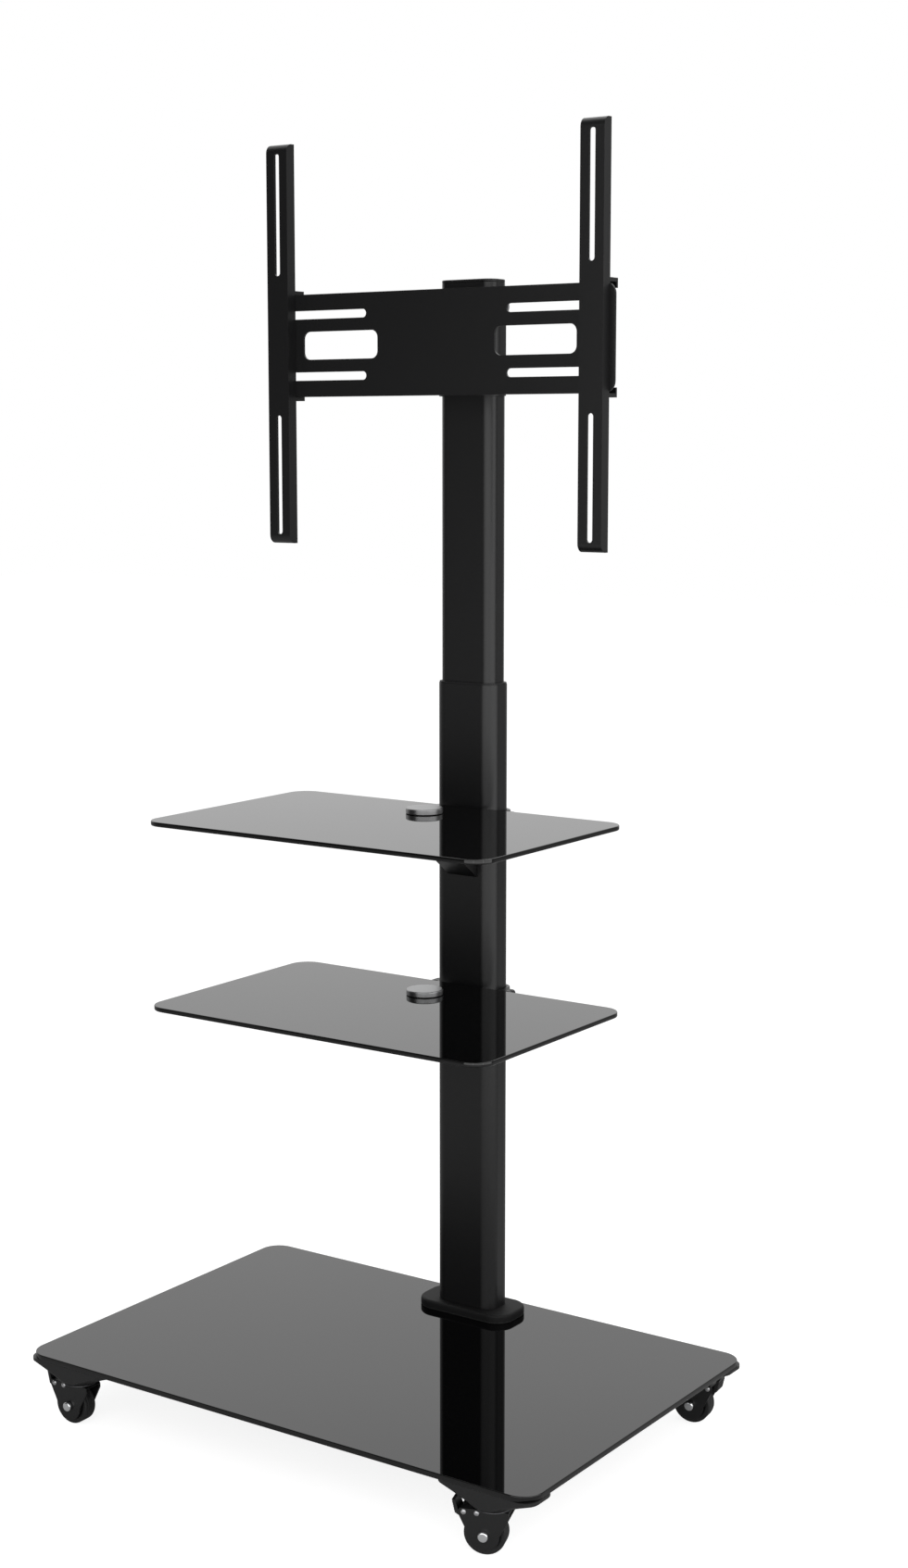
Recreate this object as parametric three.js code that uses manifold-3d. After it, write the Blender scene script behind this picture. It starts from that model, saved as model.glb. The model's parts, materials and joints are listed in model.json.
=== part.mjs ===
import * as THREE from "three";
import { mergeVertices } from "three/addons/utils/BufferGeometryUtils.js";
import Module from "manifold-3d";

// Wheeled screen stand: a glass base on casters, a telescoping mast, two glass shelves on
// cantilever arms and a head that swivels and tilts.
// Millimetres, +Z up. The origin is on the floor under the middle of the base, the front is -Y.

// Clearances and smoothness
const FIT_GAP = 0.3;
const CUT_OVERRUN = 2;
const COARSE_DIVISIONS = 1;
const CORNER_DIVISIONS = 2;
const FINE_DIVISIONS = 3;
const WHEEL_SEGMENTS = 16;
const ROUND_SEGMENTS = 14;
const HOLE_SEGMENTS = 10;
const BOLT_HOLE_SEGMENTS = 8;
const RIGHT_ANGLE = Math.PI / 2;

// Glass plates
const GLASS_CORNER_RADIUS = 28;
const GLASS_CHAMFER = 0.8;
const BASE_WIDTH = 650;
const BASE_DEPTH = 429;
const BASE_GLASS_THICKNESS = 6;
const SHELF_WIDTH = 432;
const SHELF_DEPTH = 273;
const SHELF_GLASS_THICKNESS = 5;

// Caster wheels
const WHEEL_RADIUS = 21;
const WHEEL_WIDTH = 16;
const TYRE_DEPTH = 6.5;
const TYRE_SHOULDER_RADIUS = 3;
const HUB_WEB_THICKNESS = 5;
const HUB_RIM_THICKNESS = 2.4;
const HUB_BOSS_RADIUS = 6.5;
const AXLE_RADIUS = 3;
const AXLE_HEAD_RADIUS = 5.2;
const AXLE_HEAD_HEIGHT = 4.2;
const AXLE_HEAD_ROUNDING = 1.6;

// Caster forks
const CASTER_TRAIL = 7;
const WHEEL_SIDE_GAP = 1.5;
const WHEEL_TOP_GAP = 2;
const LEG_THICKNESS = 2.5;
const LEG_END_RADIUS = 15.5;
const LEG_KNEE_DROP = 6.5;
const CROWN_THICKNESS = 2.5;
const CROWN_BEHIND_PIVOT = 18;
const CROWN_AHEAD_OF_PIVOT = 32;
const RACE_RADIUS = 18;
const RACE_HEIGHT = 3.7;
const RACE_CUP_RADIUS = 15;
const KINGPIN_RADIUS = 4.5;
const KINGPIN_HEIGHT = 12;

// Caster brakes: a cranked lever on a cross pin, with its shoe over the wheel and its pedal outside
const BRAKE_PIN_AHEAD = 26.5;
const BRAKE_PIN_BELOW_CROWN = 4;
const BRAKE_PIN_RADIUS = 1.6;
const BRAKE_BACK = 2;
const BRAKE_HALF_DEPTH = 3.2;
const BRAKE_SHOE_DROP = 3.9;
const BRAKE_HEEL = 6.7;
const BRAKE_PEDAL_THICKNESS = 3;
const BRAKE_PEDAL_RISE = 13;
const BRAKE_PEDAL_LEAN = 3;

// Corner blocks that carry the casters
const BLOCK_WIDTH = 112;
const BLOCK_DEPTH = 46;
const BLOCK_CORNER_RADIUS = 10;
const BLOCK_HOLLOW_RADIUS = 19.5;
const BLOCK_HEIGHT = 19;
const BLOCK_SIDE_HEIGHT = 3.5;
const BLOCK_SEAT_RADIUS = 22;
const BLOCK_FLARE_POWER = 1.15;
const BLOCK_SEAT_ROUND_SHARE = 0.98;
const BLOCK_WALL = 3;
const BLOCK_RIB_THICKNESS = 2.5;
const BLOCK_RIB_PLACE = 32;
const BLOCK_BOSS_RADIUS = 9;
const BLOCK_EDGE_MARGIN = 0.5;
const BLOCK_SKIN_STEPS = 3;
const BLOCK_HOLLOW_STEPS = 2;

// Swivel of each caster as it stands, in degrees from the trail pointing to +X
const CASTERS = [
  { name: "front_left", side: -1, end: -1, turn: 182 },
  { name: "front_right", side: 1, end: -1, turn: 199 },
  { name: "back_right", side: 1, end: 1, turn: 7 },
  { name: "back_left", side: -1, end: 1, turn: 172 },
];

// Mast tubes
const MAST_FROM_BACK_EDGE = 45.5;
const OUTER_TUBE_WIDTH = 77;
const OUTER_TUBE_DEPTH = 40;
const OUTER_TUBE_RADIUS = 13;
const OUTER_TUBE_LENGTH = 708;
const TUBE_WALL = 2;
const TUBE_STEP = 3.5;
const INNER_TUBE_LENGTH = 780;
const BUSH_HEIGHT = 40;
const BUSH_LIP_HEIGHT = 1.5;
const BUSH_LIP_INSET = 0.5;
const GLIDE_FLANGE = 4;
const PLUG_DEPTH = 20;
const CAP_THICKNESS = 3;
const INDEX_HOLE_RADIUS = 4.5;
const INDEX_HOLE_PITCH = 100;
const INDEX_HOLE_STEPS = [-1, 0, 1, 2];

// Foot of the mast
const FOOT_WIDTH = 122;
const FOOT_DEPTH = 60;
const FOOT_CORNER_RADIUS = 22;
const FOOT_THICKNESS = 8.5;
const FOOT_CHAMFER = 2.5;
const FOOT_SPIGOT_HEIGHT = 25;
const GASKET_THICKNESS = 1;
const UNDER_PLATE_THICKNESS = 4;
const FOOT_BOLT_RADIUS = 4.2;
const FOOT_BOLT_SPREAD_X = 48;
const FOOT_BOLT_SPREAD_Y = 17;

// Mast lock and the lobed knobs
const LOCK_BELOW_TOP = 25;
const LOCK_STUD_RADIUS = 4;
const LOCK_NUT_RADIUS = 9;
const LOCK_NUT_HEIGHT = 5;
const MAST_KNOB_RADIUS = 16;
const MAST_KNOB_THICKNESS = 12;
const KNOB_LOBES = 5;
const KNOB_LOBE_SHARE = 0.16;
const KNOB_EDGE = 1.5;
const KNOB_POINTS = 20;

// Shelf places and supports
const UPPER_SHELF_BELOW_TUBE_TOP = 133.5;
const SHELF_SPACING = 199.5;
const SHELF_FORWARD_OF_MAST = 167;
const SHELF_BOLT_REACH = 93;
const SHELF_BOLT_RADIUS = 4;
const GLASS_HOLE_RADIUS = 5;
const DISC_RADIUS = 20;
const DISC_HEIGHT = 5.5;
const DISC_ROUNDING = 1.5;
const WASHER_RADIUS = 19;
const WASHER_THICKNESS = 1;
const PAD_RADIUS = 24;
const PAD_THICKNESS = 1.5;
const DISC_STUD_BELOW_PLATE = 7;
const ARM_PLATE_RADIUS = 26;
const ARM_PLATE_THICKNESS = 4;
const ARM_BEAM_WIDTH = 38;
const ARM_BEAM_TIP = 20;
const ARM_TIP_DEPTH = 4.5;
const ARM_ROOT_DEPTH = 68.5;
const ARM_WALL = 3;
const COLLAR_WALL = 4;
const COLLAR_HEIGHT = 28;
const COLLAR_BELOW_GLASS_TOP = 3;
const COLLAR_SPLIT = 1;
const EAR_REACH = 15.5;
const EAR_THICKNESS = 5;
const EAR_CORNER_RADIUS = 4;
const EAR_HOLE_RADIUS = 2.7;
const EAR_HOLE_INSET = 6.5;

// Head saddle and swivel
const SCREEN_RISE = 1083;
const TUBE_ABOVE_SADDLE = 10;
const SADDLE_HEIGHT = 110;
const SADDLE_WALL = 3;
const SADDLE_BEHIND_MIDDLE = 6;
const SADDLE_BOLT_RADIUS = 4;
const SADDLE_BOLT_SPREAD = 78;
const SADDLE_BOLT_HEAD_RADIUS = 7;
const SADDLE_BOLT_HEAD_HEIGHT = 4;
const PIN_REACH = 12;
const PIN_RADIUS = 5;
const PIN_HEAD_RADIUS = 8;
const PIN_HEAD_HEIGHT = 4;
const LUG_RADIUS = 12;
const LUG_THICKNESS = 5;
const LUG_SPREAD = 54;

// Swivel knuckle and tilt
const BARREL_RADIUS = 10;
const NECK_WIDTH = 16;
const NECK_HEIGHT = 40;
const YOKE_REACH = 13.2;
const YOKE_WIDTH = 80;
const YOKE_HEIGHT = 48;
const YOKE_THICKNESS = 4;
const YOKE_CORNER_RADIUS = 8;
const YOKE_EAR_THICKNESS = 4;
const TILT_REACH = 9;
const TILT_EAR_RADIUS = 9;
const TILT_BOLT_RADIUS = 4;
const TILT_BOLT_HEAD_RADIUS = 7;
const TILT_BOLT_HEAD_HEIGHT = 5;
const TILT_BOLT_IN_KNOB = 8;
const TILT_KNOB_RADIUS = 10.5;
const TILT_KNOB_THICKNESS = 14;

// Screen plate
const SCREEN_PLATE_WIDTH = 440;
const SCREEN_PLATE_HEIGHT = 110;
const SCREEN_PLATE_THICKNESS = 2.5;
const SCREEN_PLATE_CORNER_RADIUS = 12;
const SCREEN_PLATE_REACH = 12;
const SCREEN_EAR_GAP = 0.5;
const SCREEN_EAR_THICKNESS = 3;
const SCREEN_FLANGE_DEPTH = 10;
const SCREEN_FLANGE_LENGTH = 410;
const PLATE_SLOT_LENGTH = 120;
const PLATE_SLOT_WIDTH = 9;
const PLATE_SLOT_CENTRE = 150;
const PLATE_SLOT_SPREAD = 66;
const PLATE_WINDOW_LENGTH = 100;
const PLATE_WINDOW_HEIGHT = 30;
const PLATE_WINDOW_RADIUS = 8;
const PLATE_WINDOW_CENTRE = 125;

// Screen arms
const SCREEN_ARM_SPACING = 400;
const SCREEN_ARM_LENGTH = 430;
const SCREEN_ARM_WIDTH = 28;
const SCREEN_ARM_DEPTH = 13.5;
const SCREEN_ARM_WALL = 2.5;
const SCREEN_ARM_NOSE_RADIUS = 9;
const HOOK_THICKNESS = 4;
const HOOK_LIP_THICKNESS = 2.4;
const HOOK_LIP_DEPTH = 6;
const HOOK_ROOT = 1.5;
const ARM_SLOT_WIDTH = 7;
const ARM_SLOT_LENGTH = 130;
const ARM_SLOT_SPREAD = 280;

// Heights that follow from the pieces below them
const AXLE_HEIGHT = WHEEL_RADIUS;
const CROWN_UNDERSIDE = WHEEL_RADIUS * 2 + WHEEL_TOP_GAP;
const CROWN_TOP = CROWN_UNDERSIDE + CROWN_THICKNESS;
const BLOCK_BOTTOM = CROWN_TOP + RACE_HEIGHT + FIT_GAP;
const BASE_UNDERSIDE = BLOCK_BOTTOM + BLOCK_HEIGHT;
const BASE_TOP = BASE_UNDERSIDE + BASE_GLASS_THICKNESS;
const FOOT_BOTTOM = BASE_TOP + GASKET_THICKNESS;
const FOOT_TOP = FOOT_BOTTOM + FOOT_THICKNESS;
const OUTER_TUBE_TOP = FOOT_TOP + OUTER_TUBE_LENGTH;
const LOCK_HEIGHT = OUTER_TUBE_TOP - LOCK_BELOW_TOP;
const UPPER_SHELF_TOP = OUTER_TUBE_TOP - UPPER_SHELF_BELOW_TUBE_TOP;
const LOWER_SHELF_TOP = UPPER_SHELF_TOP - SHELF_SPACING;
const SCREEN_CENTRE = BASE_TOP + SCREEN_RISE;
const INNER_TUBE_TOP = SCREEN_CENTRE + SADDLE_HEIGHT / 2 + TUBE_ABOVE_SADDLE;
const INNER_TUBE_BOTTOM = INNER_TUBE_TOP - INNER_TUBE_LENGTH;
const BRAKE_PIN_HEIGHT = CROWN_UNDERSIDE - BRAKE_PIN_BELOW_CROWN;

// Heights in a shelf support that follow, from the top of its glass
const PLATE_TOP = -SHELF_GLASS_THICKNESS - PAD_THICKNESS;
const PLATE_UNDERSIDE = PLATE_TOP - ARM_PLATE_THICKNESS;
const COLLAR_TOP = -COLLAR_BELOW_GLASS_TOP;

// Places in a caster and in a shelf support that follow
const LEG_INNER = WHEEL_WIDTH / 2 + WHEEL_SIDE_GAP;
const LEG_OUTER = LEG_INNER + LEG_THICKNESS;
const WHEEL_HALF_STEP = Math.PI / WHEEL_SEGMENTS;
const COLLAR_INNER_FACE = OUTER_TUBE_DEPTH / 2 + FIT_GAP;

// Plan places that follow
const MAST_SETBACK = BASE_DEPTH / 2 - MAST_FROM_BACK_EDGE;
const CASTER_X = BASE_WIDTH / 2 - BLOCK_WIDTH / 2;
const CASTER_Y = BASE_DEPTH / 2 - BLOCK_DEPTH / 2 - BLOCK_EDGE_MARGIN;
const INNER_TUBE_WIDTH = OUTER_TUBE_WIDTH - TUBE_STEP * 2;
const INNER_TUBE_DEPTH = OUTER_TUBE_DEPTH - TUBE_STEP * 2;
const PIN_DISTANCE = INNER_TUBE_DEPTH / 2 + FIT_GAP + SADDLE_WALL + PIN_REACH;
const YOKE_BACK = PIN_DISTANCE + YOKE_REACH;
const TILT_DISTANCE = YOKE_BACK + YOKE_THICKNESS + TILT_REACH;
const SCREEN_PLATE_BACK = TILT_DISTANCE + SCREEN_PLATE_REACH;
const SCREEN_PLATE_FRONT = SCREEN_PLATE_BACK + SCREEN_PLATE_THICKNESS;
const SCREEN_ARM_FRONT = SCREEN_PLATE_FRONT + SCREEN_ARM_DEPTH;
const SCREEN_EAR_INNER = YOKE_WIDTH / 2 + SCREEN_EAR_GAP;
const SCREEN_EAR_OUTER = SCREEN_EAR_INNER + SCREEN_EAR_THICKNESS;

const wasm = await Module();
wasm.setup();

// Solids, their cuts and the way back to a geometry

function solid(geometry) {
  const bare = geometry.index ? geometry.toNonIndexed() : geometry.clone();
  bare.deleteAttribute("normal");
  bare.deleteAttribute("uv");
  const merged = mergeVertices(bare);
  const corners = merged.index.array;
  const kept = [];
  for (let i = 0; i < corners.length; i += 3) {
    const [a, b, c] = [corners[i], corners[i + 1], corners[i + 2]];
    if (a !== b && b !== c && c !== a) kept.push(a, b, c);
  }
  const mesh = new wasm.Mesh({
    numProp: 3,
    vertProperties: merged.attributes.position.array,
    triVerts: new Uint32Array(kept),
  });
  return new wasm.Manifold(mesh);
}

function geometryOf(body) {
  const mesh = body.getMesh();
  const geometry = new THREE.BufferGeometry();
  geometry.setAttribute("position", new THREE.BufferAttribute(new Float32Array(mesh.vertProperties), 3));
  geometry.setIndex(new THREE.BufferAttribute(new Uint32Array(mesh.triVerts), 1));
  const faceted = geometry.toNonIndexed();
  faceted.computeVertexNormals();
  return faceted;
}

function join(bodies) {
  return bodies.reduce((whole, body) => whole.add(body));
}

function cut(body, cutters) {
  return cutters.reduce((rest, cutter) => rest.subtract(cutter), body);
}

function moved(geometry, x, y, z) {
  return geometry.clone().translate(x, y, z);
}

// Turns a shape that was drawn flat so that it is drawn in Y and Z, and its thickness runs along X.
function acrossX(geometry) {
  const basis = new THREE.Matrix4().makeBasis(
    new THREE.Vector3(0, 1, 0),
    new THREE.Vector3(0, 0, 1),
    new THREE.Vector3(1, 0, 0),
  );
  return geometry.clone().applyMatrix4(basis);
}

// Turns a shape that was drawn flat so that it is drawn in X and Z, and its thickness runs to -Y.
function forward(geometry) {
  return geometry.clone().rotateX(RIGHT_ANGLE);
}

// Outlines

function roundedRectangle(width, depth, radius) {
  const x = width / 2 - radius;
  const y = depth / 2 - radius;
  const shape = new THREE.Shape();
  shape.absarc(x, -y, radius, -RIGHT_ANGLE, 0);
  shape.absarc(x, y, radius, 0, RIGHT_ANGLE);
  shape.absarc(-x, y, radius, RIGHT_ANGLE, Math.PI);
  shape.absarc(-x, -y, radius, Math.PI, Math.PI + RIGHT_ANGLE);
  return shape;
}

function slot(length, width) {
  const radius = width / 2;
  const x = length / 2 - radius;
  const shape = new THREE.Shape();
  shape.absarc(x, 0, radius, -RIGHT_ANGLE, RIGHT_ANGLE);
  shape.absarc(-x, 0, radius, RIGHT_ANGLE, Math.PI + RIGHT_ANGLE);
  return shape;
}

function polygon(points) {
  return new THREE.Shape(points.map(([x, y]) => new THREE.Vector2(x, y)));
}

function ring(outer, inner) {
  outer.holes.push(inner);
  return outer;
}

// Basic geometries, each standing on or centred about its own zero

function extruded(shape, height, divisions = CORNER_DIVISIONS) {
  return new THREE.ExtrudeGeometry(shape, {
    depth: height,
    bevelEnabled: false,
    curveSegments: divisions,
  });
}

function chamfered(shape, height, chamfer, divisions = CORNER_DIVISIONS) {
  const geometry = new THREE.ExtrudeGeometry(shape, {
    depth: height - chamfer * 2,
    bevelEnabled: true,
    bevelThickness: chamfer,
    bevelSize: chamfer,
    bevelOffset: -chamfer,
    bevelSegments: 1,
    curveSegments: divisions,
  });
  return geometry.translate(0, 0, chamfer);
}

function box(width, depth, height) {
  return new THREE.BoxGeometry(width, depth, height);
}

function rod(radius, length, segments = HOLE_SEGMENTS) {
  return new THREE.CylinderGeometry(radius, radius, length, segments).rotateX(RIGHT_ANGLE);
}

function rodAcross(radius, length, segments = HOLE_SEGMENTS) {
  return new THREE.CylinderGeometry(radius, radius, length, segments).rotateZ(RIGHT_ANGLE);
}

function rodForward(radius, length, segments = HOLE_SEGMENTS) {
  return new THREE.CylinderGeometry(radius, radius, length, segments);
}

function turned(profile, segments = ROUND_SEGMENTS) {
  const points = profile.map(([radius, height]) => new THREE.Vector2(radius, height));
  return new THREE.LatheGeometry(points, segments).rotateX(RIGHT_ANGLE);
}

// A closed skin over matching rings of points, from the lowest ring to the highest.
function lofted(rings) {
  const count = rings[0].length;
  const last = rings.length - 1;
  const positions = [];
  const corner = (level, index) => rings[level][index % count];
  const face = (a, b, c) => positions.push(...a, ...b, ...c);
  for (let level = 0; level < last; level += 1) {
    for (let i = 0; i < count; i += 1) {
      face(corner(level, i), corner(level, i + 1), corner(level + 1, i + 1));
      face(corner(level, i), corner(level + 1, i + 1), corner(level + 1, i));
    }
  }
  for (let i = 1; i < count - 1; i += 1) {
    face(corner(0, 0), corner(0, i + 1), corner(0, i));
    face(corner(last, 0), corner(last, i), corner(last, i + 1));
  }
  const geometry = new THREE.BufferGeometry();
  geometry.setAttribute("position", new THREE.Float32BufferAttribute(positions, 3));
  return geometry;
}

// Materials

const blackGlass = new THREE.MeshStandardMaterial({ color: 0x0a0a0b, roughness: 0.04, metalness: 0 });
const blackPaint = new THREE.MeshStandardMaterial({ color: 0x17171a, roughness: 0.45, metalness: 0.1 });
const blackPlastic = new THREE.MeshStandardMaterial({ color: 0x141414, roughness: 0.55, metalness: 0 });
const blackRubber = new THREE.MeshStandardMaterial({ color: 0x101010, roughness: 0.9, metalness: 0 });
const brightSteel = new THREE.MeshStandardMaterial({ color: 0xc9cacc, roughness: 0.2, metalness: 1 });
const darkSteel = new THREE.MeshStandardMaterial({ color: 0x3a3a3d, roughness: 0.35, metalness: 0.9 });

function piece(name, body, material) {
  const geometry = body.isBufferGeometry ? body : geometryOf(body);
  const mesh = new THREE.Mesh(geometry, material.clone());
  mesh.name = name;
  return mesh;
}

// Glass

function baseGlass() {
  const shape = roundedRectangle(BASE_WIDTH, BASE_DEPTH, GLASS_CORNER_RADIUS);
  const plate = solid(chamfered(shape, BASE_GLASS_THICKNESS, GLASS_CHAMFER, FINE_DIVISIONS));
  return cut(plate, footBoltCutters(BASE_GLASS_THICKNESS, MAST_SETBACK));
}

function shelfGlass() {
  const shape = roundedRectangle(SHELF_WIDTH, SHELF_DEPTH, GLASS_CORNER_RADIUS);
  const plate = moved(
    chamfered(shape, SHELF_GLASS_THICKNESS, GLASS_CHAMFER, FINE_DIVISIONS),
    0,
    -SHELF_FORWARD_OF_MAST,
    -SHELF_GLASS_THICKNESS,
  );
  const hole = rod(GLASS_HOLE_RADIUS, (SHELF_GLASS_THICKNESS + CUT_OVERRUN) * 2);
  return cut(solid(plate), [solid(moved(hole, 0, -SHELF_BOLT_REACH, 0))]);
}

// Corner block: a rounded rectangle under the glass that flares down to a round swivel seat

function blockRing(height, inset, cornerRadius, divisions) {
  const flareHeight = BLOCK_HEIGHT - BLOCK_SIDE_HEIGHT;
  const rise = Math.min(height / flareHeight, 1);
  const flare = Math.pow(rise, BLOCK_FLARE_POWER);
  const seat = BLOCK_SEAT_RADIUS - inset;
  const halfWidth = THREE.MathUtils.lerp(seat, BLOCK_WIDTH / 2 - inset, flare);
  const halfDepth = THREE.MathUtils.lerp(seat, BLOCK_DEPTH / 2 - inset, flare);
  const radius = THREE.MathUtils.lerp(seat * BLOCK_SEAT_ROUND_SHARE, cornerRadius, flare);
  const shape = roundedRectangle(halfWidth * 2, halfDepth * 2, radius);
  return shape.getPoints(divisions).map((point) => [point.x, point.y, height]);
}

function blockLoft(bottom, top, inset, cornerRadius, steps, divisions) {
  const flareHeight = BLOCK_HEIGHT - BLOCK_SIDE_HEIGHT;
  const rings = [];
  for (let step = 0; step <= steps; step += 1) {
    const height = THREE.MathUtils.lerp(bottom, flareHeight, step / steps);
    rings.push(blockRing(height, inset, cornerRadius, divisions));
  }
  rings.push(blockRing(top, inset, cornerRadius, divisions));
  return solid(lofted(rings));
}

// Its hollow has rounder corners than its skin, so that the glass's round corner covers it.
function cornerBlock() {
  const above = BLOCK_HEIGHT + CUT_OVERRUN;
  const tall = (above + CUT_OVERRUN) * 2;
  const ribs = [
    solid(rod(BLOCK_BOSS_RADIUS, tall)),
    solid(box(BLOCK_WIDTH, BLOCK_RIB_THICKNESS, tall)),
    solid(moved(box(BLOCK_RIB_THICKNESS, BLOCK_DEPTH, tall), BLOCK_RIB_PLACE, 0, 0)),
    solid(moved(box(BLOCK_RIB_THICKNESS, BLOCK_DEPTH, tall), -BLOCK_RIB_PLACE, 0, 0)),
  ];
  const skin = blockLoft(0, BLOCK_HEIGHT, 0, BLOCK_CORNER_RADIUS, BLOCK_SKIN_STEPS, CORNER_DIVISIONS);
  const hollow = blockLoft(
    BLOCK_WALL,
    above,
    BLOCK_WALL,
    BLOCK_HOLLOW_RADIUS,
    BLOCK_HOLLOW_STEPS,
    COARSE_DIVISIONS,
  );
  const bore = solid(rod(KINGPIN_RADIUS + FIT_GAP, (KINGPIN_HEIGHT + FIT_GAP * 2) * 2));
  return cut(skin, [cut(hollow, ribs), bore]);
}

// Casters, each drawn with its kingpin on Z, its trail along +X and its axle along Y

// The pressed fork carries the brake's cross pin between its two legs.
function casterFork() {
  const knee = CROWN_TOP - LEG_KNEE_DROP;
  const outline = new THREE.Shape();
  outline.moveTo(-CROWN_BEHIND_PIVOT, CROWN_TOP);
  outline.lineTo(-CROWN_BEHIND_PIVOT, knee);
  outline.absarc(CASTER_TRAIL, AXLE_HEIGHT, LEG_END_RADIUS, Math.PI, Math.PI * 2);
  outline.lineTo(CROWN_AHEAD_OF_PIVOT, knee);
  outline.lineTo(CROWN_AHEAD_OF_PIVOT, CROWN_TOP);
  const whole = solid(moved(forward(extruded(outline, LEG_OUTER * 2)), 0, LEG_OUTER, 0));
  const wheelSpace = box((CROWN_AHEAD_OF_PIVOT + CUT_OVERRUN) * 2, LEG_INNER * 2, CROWN_UNDERSIDE * 2);
  const axleHole = rodForward(AXLE_RADIUS + FIT_GAP, (LEG_OUTER + CUT_OVERRUN) * 2);
  const pin = rodForward(BRAKE_PIN_RADIUS, LEG_INNER + LEG_OUTER, BOLT_HOLE_SEGMENTS);
  const fork = cut(whole, [solid(wheelSpace), solid(moved(axleHole, CASTER_TRAIL, 0, AXLE_HEIGHT))]);
  return fork.add(solid(moved(pin, BRAKE_PIN_AHEAD, 0, BRAKE_PIN_HEIGHT)));
}

// The brake's lever, drawn about its pin, as it stands when it is released.
function brakeLever() {
  const width = (LEG_INNER - FIT_GAP) * 2;
  const toe = BRAKE_HEEL + BRAKE_PEDAL_THICKNESS;
  const outline = polygon([
    [-BRAKE_BACK, -BRAKE_SHOE_DROP],
    [BRAKE_HALF_DEPTH, -BRAKE_SHOE_DROP],
    [toe, 0],
    [toe + BRAKE_PEDAL_LEAN, BRAKE_PEDAL_RISE],
    [BRAKE_HEEL + BRAKE_PEDAL_LEAN, BRAKE_PEDAL_RISE],
    [BRAKE_HEEL, BRAKE_HALF_DEPTH],
    [-BRAKE_BACK, BRAKE_HALF_DEPTH],
  ]);
  const bore = rodForward(BRAKE_PIN_RADIUS + FIT_GAP, width + CUT_OVERRUN * 2, BOLT_HOLE_SEGMENTS);
  return cut(solid(moved(forward(extruded(outline, width)), 0, width / 2, 0)), [solid(bore)]);
}

function swivelRace() {
  return turned([
    [0, 0],
    [RACE_RADIUS, 0],
    [RACE_CUP_RADIUS, RACE_HEIGHT],
    [KINGPIN_RADIUS, RACE_HEIGHT],
    [KINGPIN_RADIUS, RACE_HEIGHT + KINGPIN_HEIGHT],
    [0, RACE_HEIGHT + KINGPIN_HEIGHT],
  ]);
}

function casterAxle() {
  const seat = LEG_OUTER + FIT_GAP;
  const tip = seat + AXLE_HEAD_HEIGHT;
  const crown = AXLE_HEAD_RADIUS - AXLE_HEAD_ROUNDING;
  return turned(
    [
      [0, -tip],
      [crown, -tip],
      [AXLE_HEAD_RADIUS, -tip + AXLE_HEAD_ROUNDING],
      [AXLE_HEAD_RADIUS, -seat],
      [AXLE_RADIUS, -seat],
      [AXLE_RADIUS, seat],
      [AXLE_HEAD_RADIUS, seat],
      [AXLE_HEAD_RADIUS, tip - AXLE_HEAD_ROUNDING],
      [crown, tip],
      [0, tip],
    ],
    HOLE_SEGMENTS,
  );
}

// The tread is a prism whose flats lie at the wheel's radius, with one flat on the floor.
function wheelTyre() {
  const half = WHEEL_WIDTH / 2;
  const tread = WHEEL_RADIUS / Math.cos(WHEEL_HALF_STEP);
  const inner = WHEEL_RADIUS - TYRE_DEPTH;
  const flat = half - TYRE_SHOULDER_RADIUS;
  const shoulder = tread - TYRE_SHOULDER_RADIUS;
  const soft = TYRE_SHOULDER_RADIUS * Math.SQRT1_2;
  const profile = [
    [inner, -half],
    [shoulder, -half],
    [shoulder + soft, -flat - soft],
    [tread, -flat],
    [tread, flat],
    [shoulder + soft, flat + soft],
    [shoulder, half],
    [inner, half],
    [inner, -half],
  ];
  return turned(profile, WHEEL_SEGMENTS).rotateZ(WHEEL_HALF_STEP);
}

function wheelHub() {
  const rim = WHEEL_RADIUS - TYRE_DEPTH - FIT_GAP;
  const well = rim - HUB_RIM_THICKNESS;
  const half = WHEEL_WIDTH / 2;
  const web = HUB_WEB_THICKNESS / 2;
  const boss = LEG_INNER - FIT_GAP;
  const bore = AXLE_RADIUS + FIT_GAP;
  const profile = [
    [bore, -boss],
    [HUB_BOSS_RADIUS, -boss],
    [HUB_BOSS_RADIUS, -web],
    [well, -web],
    [well, -half],
    [rim, -half],
    [rim, half],
    [well, half],
    [well, web],
    [HUB_BOSS_RADIUS, web],
    [HUB_BOSS_RADIUS, boss],
    [bore, boss],
    [bore, -boss],
  ];
  return turned(profile, WHEEL_SEGMENTS).rotateZ(WHEEL_HALF_STEP);
}

function caster({ name, side, end, turn }, shapes) {
  const wheel = new THREE.Group();
  wheel.add(piece(`tyre_${name}`, shapes.tyre, blackRubber));
  wheel.add(piece(`hub_${name}`, shapes.hub, blackPlastic));
  wheel.add(piece(`axle_${name}`, shapes.axle, brightSteel));
  wheel.rotation.x = RIGHT_ANGLE;
  wheel.position.set(CASTER_TRAIL, 0, AXLE_HEIGHT);
  const race = piece(`swivel_race_${name}`, shapes.race, darkSteel);
  race.position.z = CROWN_TOP;
  const brake = piece(`brake_lever_${name}`, shapes.brake, blackPaint);
  brake.position.set(BRAKE_PIN_AHEAD, 0, BRAKE_PIN_HEIGHT);
  const swivel = new THREE.Group();
  swivel.add(wheel, race, brake, piece(`fork_${name}`, shapes.fork, blackPaint));
  swivel.rotation.z = THREE.MathUtils.degToRad(turn);
  const block = piece(`corner_block_${name}`, shapes.block, blackPlastic);
  block.position.z = BLOCK_BOTTOM;
  const whole = new THREE.Group();
  whole.add(swivel, block);
  whole.position.set(side * CASTER_X, end * CASTER_Y, 0);
  return whole;
}

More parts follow.
